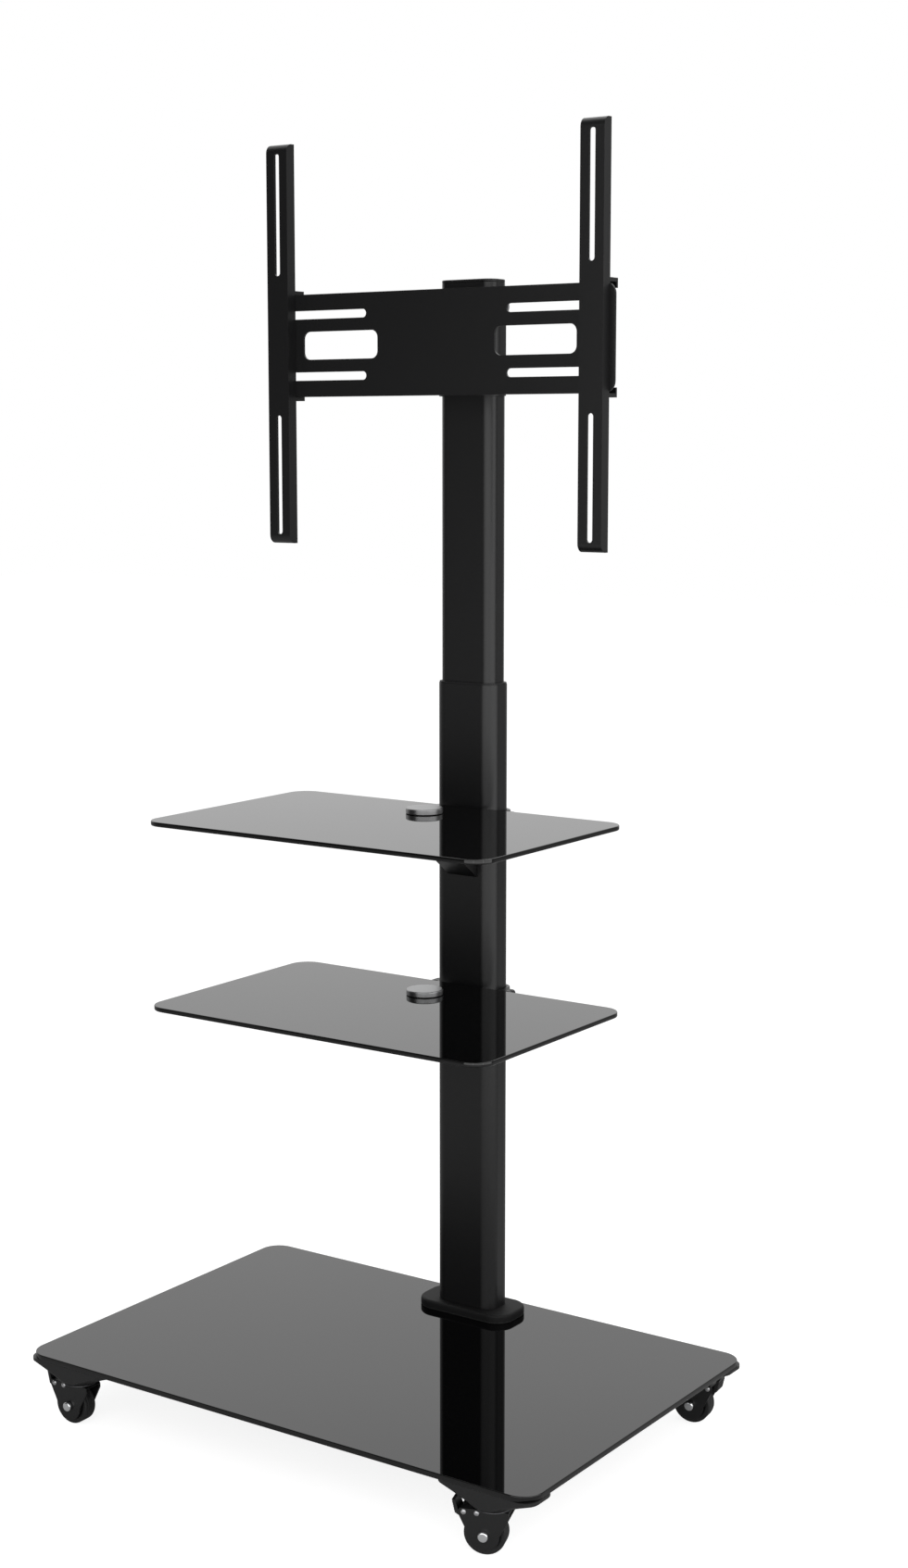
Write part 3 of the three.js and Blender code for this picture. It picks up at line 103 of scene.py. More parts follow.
# Casters: the way each one trails, in degrees from +X
CASTER_TURNS = {"front_left": 182, "front_right": 199, "back_right": 7, "back_left": 172}
CASTER_TRAIL = 7
WHEEL_RADIUS = 21
WHEEL_WIDTH = 16
TYRE_DEPTH = 6.5
TYRE_SHOULDER = 3.2
TREAD_GROOVE = 0.35
HUB_WEB_THICKNESS = 5
HUB_RIM_THICKNESS = 2.4
HUB_BOSS_RADIUS = 6.5
HUB_SOFTNESS = 0.5
HUB_RIBS = 8
HUB_RIB_THICKNESS = 1.4
HUB_RIB_ROOT = 0.5
HUB_RIB_SETBACK = 1
AXLE_RADIUS = 3
AXLE_HEAD_RADIUS = 5.2
AXLE_HEAD_HEIGHT = 4.2
AXLE_SOFTNESS = 2
LEG_INNER = 9.5
LEG_OUTER = 12
LEG_END_RADIUS = 15.5
KNEE_HEIGHT = 40
CROWN_UNDERSIDE = 44
CROWN_TOP = 46.5
CROWN_BEHIND_PIVOT = 18
CROWN_AHEAD_OF_PIVOT = 32
CROWN_CORNER = 3
FORK_EDGE = 1.4
RACE_RADIUS = 18
RACE_CUP_RADIUS = 15
RACE_HEIGHT = 3.7
RACE_LIP = 1
RACE_SOFTNESS = 0.7
KINGPIN_RADIUS = 4.5
KINGPIN_HEIGHT = 12
BRAKE_PIN_AHEAD = 26.5
BRAKE_PIN_RADIUS = 1.6
BRAKE_PIN_SOFTNESS = 0.3
BRAKE_BACK = 2
BRAKE_HALF_DEPTH = 3.2
BRAKE_SHOE_DROP = 3.9
BRAKE_HEEL = 6.7
BRAKE_PEDAL_THICKNESS = 3
BRAKE_PEDAL_LEAN = 3
BRAKE_EDGE = 0.8
BRAKE_TREADS = 4
BRAKE_TREAD_WIDTH = 1
BRAKE_TREAD_RISE = 0.5
BRAKE_TREAD_PITCH = 2.4
RIVET_PLACES = ((14, 43), (27, 43))

# Corner blocks
BLOCK_SIZE = (112, 46)
BLOCK_CORNER_RADIUS = 14.5
BLOCK_HOLLOW_RADIUS = 19.5
BLOCK_SIDE_HEIGHT = 3.5
BLOCK_SEAT_RADIUS = 22
BLOCK_FLARE_POWER = 1.15
BLOCK_SEAT_ROUND_SHARE = 0.98
BLOCK_WALL = 3
BLOCK_RIB_THICKNESS = 2.5
BLOCK_RIB_PLACE = 32
BLOCK_BOSS_RADIUS = 9
BLOCK_RINGS = 10
BLOCK_EDGE = 0.6
BLOCK_BEVEL_ANGLE = 50

# Mast
TUBE_SIZE = (77, 40)
TUBE_RADIUS = 15
TUBE_WALL = 2
TUBE_STEP = 3.5
TUBE_RIM_EDGE = 0.5
BUSH_LIP_INSET = 0.5
BUSH_LIP_EDGE = 0.4
BUSH_SLEEVE_DROP = 0.05
LOCK_STUD_RADIUS = 4
LOCK_NUT_RADIUS = 9
LOCK_NUT_SOFTNESS = 0.8
INDEX_HOLE_RADIUS = 4.5
INDEX_HOLE_PITCH = 100
INDEX_HOLE_STEPS = (-1, 0, 1, 2)
FOOT_RADIUS = 22
FOOT_EDGES = (0.4, 3)
UNDER_PLATE_EDGE = 0.5
GASKET_EDGE = 0.2
GASKET_DRAW = 0.4
SPIGOT_HEIGHT = 25
SPIGOT_EDGE = 1
FOOT_BORE_HEIGHT = 20
PLUG_EDGE = 0.5
PLUG_FLANGE_EDGE = 0.8

# Knobs
MAST_KNOB_RADIUS = 16
MAST_KNOB_THICKNESS = 12
TILT_KNOB_RADIUS = 10.5
TILT_KNOB_BORE_DEPTH = 8
KNOB_LOBES = 5
KNOB_LOBE_SHARE = 0.16
KNOB_POINTS = 120
KNOB_EDGE = 2.4
KNOB_BUTTON_SHARE = 0.5
KNOB_BUTTON_RISE = 0.6
KNOB_BUTTON_SOFTNESS = 1.2

# Shelf supports, measured from the top of the shelf's glass
DISC_ROUNDING = 1.4
DISC_SKIRT = 1.8
WASHER_SOFTNESS = 0.3
ARM_PLATE_RADIUS = 26
ARM_PLATE_TOP = -6.5
ARM_PLATE_THICKNESS = 4
ARM_PLATE_UNDERSIDE = ARM_PLATE_TOP - ARM_PLATE_THICKNESS
ARM_BEAM_WIDTH = 38
ARM_BEAM_TIP = 16
ARM_TIP_DEPTH = 3.2
ARM_ROOT_DEPTH = 68.5
ARM_WALL = 3
ARM_EDGE = 0.9
SHELF_BOLT_REACH = 93
SHELF_BOLT_RADIUS = 4
COLLAR_WALL = 4
COLLAR_TOP = ARM_PLATE_TOP
COLLAR_HEIGHT = 24.5
COLLAR_SPLIT = 1
EAR_REACH = 15.5
EAR_THICKNESS = 5
EAR_CORNER_RADIUS = 4
EAR_HOLE_RADIUS = 2.7
EAR_HOLE_INSET = 6.5

# Head, measured from the middle of the screen plate
SADDLE_HEIGHT = 110
SADDLE_WALL = 3
SADDLE_BEHIND_MIDDLE = 6
SADDLE_BOLT_SPREAD = 78
PIN_REACH = 12
LUG_RADIUS = 12
LUG_THICKNESS = 5
LUG_SPREAD = 54
BARREL_RADIUS = 10
PIN_RADIUS = 5
NECK_SIZE = (16, 40)
KNUCKLE_EDGE = 0.8
YOKE_SIZE = (80, 48)
YOKE_RADIUS = 8
YOKE_REACH = 13.2
YOKE_THICKNESS = 4
TILT_REACH = 9
TILT_EAR_RADIUS = 9
TILT_BOLT_RADIUS = 4
TILT_BOLT_HEAD_HEIGHT = 5
TILT_BOLT_SOFTNESS = 1
SCREEN_PLATE_SIZE = (440, 110)
SCREEN_PLATE_RADIUS = 12
SCREEN_PLATE_REACH = 12
SHEET_THICKNESS = 2.5
SHEET_EDGE = 0.6
SCREEN_EAR_THICKNESS = 3
SCREEN_EAR_GAP = 0.5
FLANGE_DEPTH = 10
FLANGE_LENGTH = 410
PLATE_SLOT = (120, 9)
PLATE_SLOT_PLACE = (150, 33)
PLATE_WINDOW = (100, 30)
PLATE_WINDOW_RADIUS = 8
PLATE_WINDOW_PLACE = 125
SCREEN_ARM_WIDTH = 28
SCREEN_ARM_DEPTH = 13.5
SCREEN_ARM_NOSE = 9
ARM_SLOT = (130, 7)
ARM_SLOT_PLACE = 140
HOOK_THICKNESS = 4
HOOK_LIP_THICKNESS = 2.4
HOOK_LIP_DEPTH = 6
HOOK_ROOT = 1.5

# Fasteners
HEXAGON = 6
CROWN_RINGS = 4
SCREW_CROWN = 0.84
NUT_CROWN = 0.88
RIVET_RINGS = 8
FORK_RIVET = {"radius": 2.8, "height": 1.3}
FOOT_NUT = {"radius": 6.6, "height": 5, "washer": 7.6, "rise": 1.4}
COLLAR_SCREW = {"radius": 4.6, "height": 4.2, "socket": 2.3}
COLLAR_NUT = {"radius": 4.6, "height": 3.6, "washer": 5, "rise": 0.8}
DISC_NUT = {"radius": 7.2, "height": 4.5, "washer": 8, "rise": 1}
LOCK_SCREW = {"radius": 4.4, "height": 4, "socket": 2.2}
SADDLE_BOLT_HEAD = {"head_radius": 7, "head_height": 4}
SWIVEL_PIN_HEAD = {"head_radius": 8, "head_height": 4}
BOLT_HEAD_SOFTNESS = 1.3
BOLT_SOCKET_RISE = 0.6

# Camera and lamps, in metres, degrees and watts, with the lens in millimetres
LENS_LENGTH = 54.475
SENSOR_WIDTH = 36
VIEW_DEPTH = 100
CAMERA_PLACE = (1.4571, -1.9818, 1.0566)
CAMERA_DIP = 8.2469
CAMERA_TURN = 34.5774
KEY_LAMP_TURNS = (7, 50, 93)
KEY_LAMP = {"distance": 2.0, "height": 1.2, "aim": 1.2, "size": (1.66, 2.4), "power": 19}
TOP_LAMP = {
    "azimuth": 180, "distance": 1.2, "height": 3.2, "aim": 0.6, "size": (2.0, 2.0), "power": 22,
}

# Room and floor: each change runs over a span of the direction, from one level to another
ROOM_TO_THE_BACK = ((-0.45, 0.1), (0.06, 1.0))
ROOM_TO_THE_RIGHT = ((0.1, 0.5), (1.0, 0.3))
ROOM_UPWARDS = ((0.16, 0.38), (0.93, 1.12))
SOFT_LIGHT = 0.5
FLOOR_HALF = 12.0
FLOOR_GREY = 0.42
FLOOR_GLOW = 0.84
FLOOR_MIRRORED_GLOW = 0.05


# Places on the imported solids

def corners(solid):
    """Lowest and highest corner of a solid, in millimetres."""
    low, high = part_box(solid)
    return low / MM, high / MM


def middle_of(solid):
    low, high = corners(solid)
    return (low + high) / 2


MAST_LOW, MAST_HIGH = corners("inner_tube")
MAST_Y = middle_of("inner_tube").y
FOOT_TOP = corners("outer_tube")[0].z
LOCK_HEIGHT = middle_of("mast_knob").z
HEAD_HEIGHT = middle_of("screen_plate").z
INNER_WIDTH, INNER_DEPTH = (size - TUBE_STEP * 2 for size in TUBE_SIZE)


# Turns of a drawn shape

def shift(x=0, y=0, z=0):
    return Matrix.Translation((x, y, z))


FORWARD = Matrix.Rotation(QUARTER, 4, "X")
ACROSS = Matrix(((0, 0, 1, 0), (1, 0, 0, 0), (0, 1, 0, 0), (0, 0, 0, 1)))
ON_MAST = shift(0, MAST_Y, 0)
HEAD = shift(0, MAST_Y, HEAD_HEIGHT)


# Outlines, all drawn counterclockwise

def arc(x, y, radius, start, end, steps=CORNER_STEPS):
    turns = [start + (end - start) * step / steps for step in range(steps + 1)]
    return [(x + radius * math.cos(turn), y + radius * math.sin(turn)) for turn in turns]


def circle(radius, x=0, y=0, steps=HOLE_STEPS):
    return arc(x, y, radius, 0, FULL_TURN, steps)[:-1]


def rounded_rectangle(width, depth, radius, steps=CORNER_STEPS):
    points = []
    for quarter, (side, end) in enumerate(((1, -1), (1, 1), (-1, 1), (-1, -1))):
        start = (quarter - 1) * QUARTER
        x = side * (width / 2 - radius)
        y = end * (depth / 2 - radius)
        points += arc(x, y, radius, start, start + QUARTER, steps)
    return points


def tongue_outline(reach, radius, root, steps=FINE_STEPS):
    """From a straight root forwards to a round end about a centre at a reach."""
    end = arc(0, -reach, radius, math.pi, FULL_TURN, steps)
    return [*end, (radius, root), (-radius, root)]


def tube_outline(grown_by, steps=CORNER_STEPS):
    """The lower tube's outline, drawn outwards by a distance all round."""
    width, depth = (size + grown_by * 2 for size in TUBE_SIZE)
    return rounded_rectangle(width, depth, TUBE_RADIUS + grown_by, steps)


def moved_loop(loop, x, y):
    return [(px + x, py + y) for px, py in loop]


def clean_loop(loop):
    kept = []
    for point in map(Vector, loop):
        if not kept or (point - kept[-1]).length > TINY:
            kept.append(point)
    if (kept[0] - kept[-1]).length <= TINY:
        kept.pop()
    return kept


def inset_loop(loop, distance):
    moved = []
    for i, here in enumerate(loop):
        before = (here - loop[i - 1]).normalized()
        after = (loop[(i + 1) % len(loop)] - here).normalized()
        left = Vector((-before.y - after.y, before.x + after.x))
        moved.append(here + left * (distance / (1 + before.dot(after))))
    return moved


def softened(profile, radius):
    """Rounds the corners of a lathe profile and leaves its two ends, unless it is closed."""
    closed = profile[0] == profile[-1]
    points = [Vector(point) for point in (profile[:-1] if closed else profile)]
    rounded = []
    for i, corner in enumerate(points):
        if not closed and i in (0, len(points) - 1):
            rounded.append(corner)
            continue
        before = points[i - 1] - corner
        after = points[(i + 1) % len(points)] - corner
        reach = min(radius, before.length / 2, after.length / 2)
        start = corner + before.normalized() * reach
        end = corner + after.normalized() * reach
        for step in range(SOFTENING_STEPS + 1):
            share = step / SOFTENING_STEPS
            rounded.append(start.lerp(corner, share).lerp(corner.lerp(end, share), share))
    return rounded + rounded[:1] if closed else rounded


# Making meshes

def object_of(name, mesh):
    piece = bpy.data.objects.new(name, mesh)
    bpy.context.scene.collection.objects.link(piece)
    return piece


def made(name, form, place):
    """Turns a drawn form in millimetres into an object in metres."""
    bmesh.ops.transform(form, matrix=Matrix.Scale(MM, 4) @ place, verts=form.verts)
    bmesh.ops.recalc_face_normals(form, faces=form.faces)
    mesh = bpy.data.meshes.new(name)
    form.to_mesh(mesh)
    form.free()
    return object_of(name, mesh)


def rounding(edge):
    """Rises from a plate's face and how far its outline is drawn in at each."""
    if not edge:
        return [(0, 0)]
    turns = [QUARTER * step / EDGE_STEPS for step in range(EDGE_STEPS + 1)]
    return [(edge * (1 - math.cos(turn)), edge * (1 - math.sin(turn))) for turn in turns]


def rim_levels(bottom, top, edge):
    """Heights up a plate's rim; edge is one rounding, or one below and one above."""
    below, above = edge if isinstance(edge, tuple) else (edge, edge)
    lower = [(bottom + rise, inset) for rise, inset in rounding(below)]
    upper = [(top - rise, inset) for rise, inset in reversed(rounding(above))]
    return lower + upper


def slab(outline, bottom, top, edge=0, holes=()):
    """A plate between two heights with rounded rims, and holes right through it."""
    form = bmesh.new()
    levels = rim_levels(bottom, top, edge)
    ends = {0: [], -1: []}
    for loop, way in [(outline, 1)] + [(hole, -1) for hole in holes]:
        loop = clean_loop(loop)
        count = len(loop)
        rings = []
        for height, inset in levels:
            points = inset_loop(loop, inset * way)
            rings.append([form.verts.new((x, y, height)) for x, y in points])
        for lower, upper in zip(rings, rings[1:]):
            for i in range(count):
                j = (i + 1) % count
                form.faces.new((lower[i], lower[j], upper[j], upper[i])).smooth = True
        for end in ends:
            ends[end].append(rings[end])
    for end, loops in ends.items():
        if len(loops) == 1:
            form.faces.new(loops[0])
            continue
        edges = [form.edges.get((loop[i - 1], loop[i])) for loop in loops for i in range(len(loop))]
        up = Vector((0, 0, 1 if end else -1))
        bmesh.ops.triangle_fill(form, use_beauty=True, use_dissolve=False, edges=edges, normal=up)
    return form


def turned(profile, softness, steps=ROUND_STEPS):
    """A lathe shape about Z from pairs of radius and height, with softened corners."""
    points = softened(profile, softness)
    closed = (points[0] - points[-1]).length < TINY
    if closed:
        points.pop()
    form = bmesh.new()
    rings = []
    for radius, height in points:
        count = steps if radius > TINY else 1
        turns = [FULL_TURN * step / steps for step in range(count)]
        ring = [(radius * math.cos(turn), radius * math.sin(turn), height) for turn in turns]
        rings.append([form.verts.new(point) for point in ring])
    pairs = list(zip(rings, rings[1:])) + ([(rings[-1], rings[0])] if closed else [])
    for lower, upper in pairs:
        for i in range(steps):
            j = (i + 1) % steps
            around = [lower[i % len(lower)], lower[j % len(lower)]]
            around += [upper[j % len(upper)], upper[i % len(upper)]]
            face = list(dict.fromkeys(around))
            if len(face) > 2:
                form.faces.new(face).smooth = True
    return form


def drum(radius, bottom, top, softness):
    return turned([(0, bottom), (radius, bottom), (radius, top), (0, top)], softness)


def block(width, depth, height):
    form = bmesh.new()
    bmesh.ops.create_cube(form, size=1, matrix=Matrix.Diagonal((width, depth, height, 1)))
    return form


def rod(radius, length, steps=HOLE_STEPS):
    return slab(circle(radius, steps=steps), -length / 2, length / 2)


def bore(radius, length, place, play=FIT_GAP):
    """A cutter along Z about a place for a pin of a radius, with play round it."""
    return made("bore", rod(radius + play, length), place)


# Working a piece

def settled(piece):
    """Works a piece's modifiers into its mesh."""
    shapes = bpy.context.evaluated_depsgraph_get()
    mesh = bpy.data.meshes.new_from_object(piece.evaluated_get(shapes))
    piece.modifiers.clear()
    rough = piece.data
    piece.data = mesh
    bpy.data.meshes.remove(rough)
    return piece


def worked(piece, tools, operation):
    for tool in tools:
        step = piece.modifiers.new("work", "BOOLEAN")
        step.operation = operation
        step.solver = "MANIFOLD"
        step.object = tool
    settled(piece)
    for tool in tools:
        bpy.data.objects.remove(tool)
    return piece


def welded(piece, *parts):
    return worked(piece, parts, "UNION")


def carved(piece, *cutters):
    return worked(piece, cutters, "DIFFERENCE")


def bevelled(piece, width, segments, angle):
    bevel = piece.modifiers.new("edges", "BEVEL")
    bevel.width = width * MM
    bevel.segments = segments
    bevel.limit_method = "ANGLE"
    bevel.angle_limit = math.radians(angle)
    return settled(piece)


def shaded(piece):
    """Smooth curves, sharp edges and flats that keep their shading."""
    mesh = piece.data
    mesh.polygons.foreach_set("use_smooth", [True] * len(mesh.polygons))
    mesh.set_sharp_from_angle(angle=math.radians(SHARP_ANGLE))
    piece.modifiers.new("shading", "WEIGHTED_NORMAL").keep_sharp = True
    return settled(piece)


def eased(piece, width, angle=BEVEL_ANGLE):
    """Merges flat faces and rounds the edges."""
    form = bmesh.new()
    form.from_mesh(piece.data)
    bmesh.ops.remove_doubles(form, verts=form.verts, dist=TINY * MM)
    flat = math.radians(FLAT_ANGLE)
    bmesh.ops.dissolve_limit(form, angle_limit=flat, verts=form.verts, edges=form.edges)
    form.to_mesh(piece.data)
    form.free()
    return shaded(bevelled(piece, width, BEVEL_SEGMENTS, angle))


def finished(piece, coating, carrier):
    """Gives a piece its finish, on the body that carries a solid."""
    piece.data.materials.clear()
    piece.data.materials.append(coating)
    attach(piece, frame["nodes"][carrier]["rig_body"])


def fitted(piece, coating):
    """Gives a piece its finish and lets it stand for the solid that it is named after."""
    solid = piece.name.rpartition("_")[0]
    finished(piece, coating, solid)
    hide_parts(solid)


# Node trees

def node(tree, kind, inputs=None, **settings):
    made_node = tree.nodes.new(kind)
    for name, value in settings.items():
        setattr(made_node, name, value)
    for socket, source in (inputs or {}).items():
        if isinstance(source, bpy.types.NodeSocket):
            tree.links.new(source, made_node.inputs[socket])
        else:
            made_node.inputs[socket].default_value = source
    return made_node


def result(tree, kind, inputs=None, **settings):
    """The first output of a new node."""
    return node(tree, kind, inputs, **settings).outputs[0]


def calculated(tree, operation, *values):
    """The values worked together in turn by one operation."""
    total = values[0]
    for value in values[1:]:
        total = result(tree, "ShaderNodeMath", {0: total, 1: value}, operation=operation)
    return total


def vector(tree, x=0.0, y=0.0, z=0.0):
    return result(tree, "ShaderNodeCombineXYZ", {"X": x, "Y": y, "Z": z})


# The kinds of the sockets that aren't plain numbers, by the last word of their names
SOCKET_KINDS = {
    "Geometry": "NodeSocketGeometry", "Finish": "NodeSocketMaterial", "Count": "NodeSocketInt",
    "Colour": "NodeSocketColor",
}


def new_tree(name, kind, inputs, outputs):
    """A node group with named inputs and outputs."""
    tree = bpy.data.node_groups.new(name, kind)
    for direction, labels in (("INPUT", inputs), ("OUTPUT", outputs)):
        for label in labels:
            socket = SOCKET_KINDS.get(label.split()[-1], "NodeSocketFloat")
            tree.interface.new_socket(name=label, in_out=direction, socket_type=socket)
    return tree, node(tree, "NodeGroupInput").outputs


# Shape trees: tubes, fasteners, ribs and treads

def shape_tree(name, *sizes):
    inputs = ("Geometry", *sizes, "Count", "Finish")
    return new_tree(name, "GeometryNodeTree", inputs, ("Geometry",))


def end_tree(tree, given, shape):
    """Ends a shape tree in plain geometry with its finish."""
    real = result(tree, "GeometryNodeRealizeInstances", {"Geometry": shape})
    coating = {"Geometry": real, "Material": given["Finish"]}
    coated = result(tree, "GeometryNodeSetMaterial", coating)
    node(tree, "NodeGroupOutput", {"Geometry": coated})
    return tree


def joined(tree, *shapes):
    whole = node(tree, "GeometryNodeJoinGeometry")
    for shape in shapes:
        tree.links.new(shape, whole.inputs[0])
    return whole.outputs[0]


def lifted(tree, shape, height):
    place = {"Geometry": shape, "Translation": vector(tree, z=height)}
    return result(tree, "GeometryNodeTransform", place)


def repeated(tree, points, item, **turn):
    inputs = {"Points": points, "Instance": item, **turn}
    return result(tree, "GeometryNodeInstanceOnPoints", inputs)


def at_each_seat(tree, given, item):
    """Stands an item on every point of the given mesh, along that point's facing."""
    facing = result(
        tree, "GeometryNodeInputNamedAttribute", {"Name": "facing"}, data_type="FLOAT_VECTOR"
    )
    turn = result(tree, "FunctionNodeAlignRotationToVector", {"Vector": facing}, axis="Z")
    return repeated(tree, given["Geometry"], item, Rotation=turn)


def cylinder(tree, sides, radius, height, rings=1):
    return node(tree, "GeometryNodeMeshCylinder", {
        "Vertices": sides, "Side Segments": rings, "Radius": radius, "Depth": height,
    })


def crowned(tree, sides, radius, height, share):
    """A cylinder about zero whose top is drawn in to a share of its width."""
    outputs = cylinder(tree, sides, radius, height, CROWN_RINGS).outputs
    return result(tree, "GeometryNodeScaleElements", {
        "Geometry": outputs["Mesh"], "Selection": outputs["Top"], "Scale": share,
    })


def tube_tree():
    """A straight tube of rounded rectangular section, standing on zero."""
    tree, given = shape_tree("rounded_tube", "Width", "Depth", "Radius", "Wall", "Length")
    twice = calculated(tree, "MULTIPLY", given["Wall"], 2)
    cuts = (("Width", twice), ("Depth", twice), ("Radius", given["Wall"]))
    outer = [given[size] for size, cut in cuts]
    inner = [calculated(tree, "SUBTRACT", given[size], cut) for size, cut in cuts]
    rims = []
    for width, depth, radius in (outer, inner):
        sheet = {"Width": width, "Height": depth}
        rims.append(result(tree, "GeometryNodeFilletCurve", {
            "Curve": result(tree, "GeometryNodeCurvePrimitiveQuadrilateral", sheet),
            "Count": given["Count"], "Radius": radius,
        }, mode="POLY"))
    floor = result(tree, "GeometryNodeFillCurve", {"Curve": joined(tree, *rims)}, mode="TRIANGLES")
    walls = result(tree, "GeometryNodeExtrudeMesh", {
        "Mesh": floor, "Offset": vector(tree, z=given["Length"]), "Individual": False,
    })
    under = result(tree, "GeometryNodeFlipFaces", {"Mesh": floor})
    merging = {"Geometry": joined(tree, walls, under), "Distance": TINY * MM}
    return end_tree(tree, given, result(tree, "GeometryNodeMergeByDistance", merging))


def screw_tree():
    """Socket head screws: a tapered round head with a six-sided recess."""
    tree, given = shape_tree("socket_screws", "Radius", "Height", "Socket")
    height = given["Height"]
    barrel = crowned(tree, given["Count"], given["Radius"], height, SCREW_CROWN)
    hexagon = cylinder(tree, HEXAGON, given["Socket"], height).outputs[0]
    screw = result(tree, "GeometryNodeMeshBoolean", {
        "Mesh 1": lifted(tree, barrel, calculated(tree, "MULTIPLY", height, 0.5)),
        "Mesh 2": lifted(tree, hexagon, height),
    }, operation="DIFFERENCE", solver="EXACT")
    return end_tree(tree, given, at_each_seat(tree, given, screw))


def nut_tree():
    """Six-sided nuts or bolt heads on round washers."""
    tree, given = shape_tree("hexagon_nuts", "Radius", "Height", "Washer", "Rise")
    rise = given["Rise"]
    washer = cylinder(tree, given["Count"], given["Washer"], rise).outputs[0]
    flat = lifted(tree, washer, calculated(tree, "MULTIPLY", rise, 0.5))
    hexagon = crowned(tree, HEXAGON, given["Radius"], given["Height"], NUT_CROWN)
    half = calculated(tree, "MULTIPLY", given["Height"], 0.5)
    nut = lifted(tree, hexagon, calculated(tree, "ADD", half, rise))
    return end_tree(tree, given, at_each_seat(tree, given, joined(tree, flat, nut)))


def rivet_tree():
    """Low domed rivet heads."""
    tree, given = shape_tree("domed_rivets", "Radius", "Height")
    ball = result(tree, "GeometryNodeMeshUVSphere", {
        "Segments": given["Count"], "Rings": RIVET_RINGS, "Radius": given["Radius"],
    })
    low = calculated(tree, "DIVIDE", given["Height"], given["Radius"])
    squash = {"Geometry": ball, "Scale": vector(tree, 1.0, 1.0, low)}
    dome = result(tree, "GeometryNodeTransform", squash)
    return end_tree(tree, given, at_each_seat(tree, given, dome))


def rib_tree():
    """Ribs set evenly round Z between two radii, on both sides of the middle."""
    tree, given = shape_tree("radial_ribs", "Inner", "Outer", "Thickness", "Width")
    reach = calculated(tree, "SUBTRACT", given["Outer"], given["Inner"])
    size = vector(tree, reach, given["Thickness"], given["Width"])
    both = calculated(tree, "ADD", given["Outer"], given["Inner"])
    middle = calculated(tree, "MULTIPLY", both, 0.5)
    rib = result(tree, "GeometryNodeTransform", {
        "Geometry": result(tree, "GeometryNodeMeshCube", {"Size": size}),
        "Translation": vector(tree, middle),
    })
    starts = result(tree, "GeometryNodePoints", {"Count": given["Count"]})
    index = result(tree, "GeometryNodeInputIndex")
    whole = calculated(tree, "MULTIPLY", index, FULL_TURN)
    turn = vector(tree, z=calculated(tree, "DIVIDE", whole, given["Count"]))
    return end_tree(tree, given, repeated(tree, starts, rib, Rotation=turn))


def tread_tree():
    """A straight row of low bars, set up along Y and standing out along X."""
    tree, given = shape_tree("tread_bars", "Width", "Rise", "Length", "Pitch")
    size = vector(tree, given["Rise"], given["Width"], given["Length"])
    bar = result(tree, "GeometryNodeMeshCube", {"Size": size})
    step = vector(tree, y=given["Pitch"])
    row = result(tree, "GeometryNodeMeshLine", {"Count": given["Count"], "Offset": step})
    return end_tree(tree, given, repeated(tree, row, bar))


def grown(name, tree, coating, count, points=None, **sizes):
    """A piece with the mesh that a shape tree makes, on given points if it needs them."""
    values = {size.title(): length * MM for size, length in sizes.items()}
    values.update({"Count": count, "Finish": coating})
    piece = object_of(name, points or bpy.data.meshes.new(name))
    growth = piece.modifiers.new(tree.name, "NODES")
    growth.node_group = tree
    for item in tree.interface.items_tree:
        if item.in_out == "INPUT" and item.name in values:
            growth[item.identifier] = values[item.name]
    return settled(piece)


# Surface effects that several finishes share

def surface_tree(name, inputs, outputs=("Colour", "Roughness", "Height")):
    """A surface group with its usual values, and places on the piece itself."""
    tree, given = new_tree(name, "ShaderNodeTree", inputs, outputs)
    for item in tree.interface.items_tree:
        if item.in_out == "INPUT":
            item.default_value = inputs[item.name]
    return tree, given, node(tree, "ShaderNodeTexCoord").outputs["Object"]


def noise(tree, place, scale, detail, **more):
    inputs = {"Vector": place, "Scale": scale, "Detail": detail, **more}
    return result(tree, "ShaderNodeTexNoise", inputs)


def ranged(tree, value, span, levels, **settings):
    """Runs from one level to another while a value crosses a span."""
    return result(tree, "ShaderNodeMapRange", {
        "Value": value, "From Min": span[0], "From Max": span[1],
        "To Min": levels[0], "To Max": levels[1],
    }, **settings)


def swung(tree, value, spread):
    """How far a value between 0 and 1 is from its middle, scaled to a spread."""
    return calculated(tree, "MULTIPLY", calculated(tree, "SUBTRACT", value, 0.5), spread)


def toned(tree, colour, value, spread):
    level = calculated(tree, "ADD", swung(tree, value, spread), 1.0)
    return result(tree, "ShaderNodeVectorMath", {0: colour, "Scale": level}, operation="SCALE")


def overlaid(tree, share, colour, other):
    """One colour over another; a colour mix has its colours in sockets 6 and 7 and gives out 2."""
    inputs = {"Factor": share, 6: colour, 7: other}
    return node(tree, "ShaderNodeMix", inputs, data_type="RGBA").outputs[2]


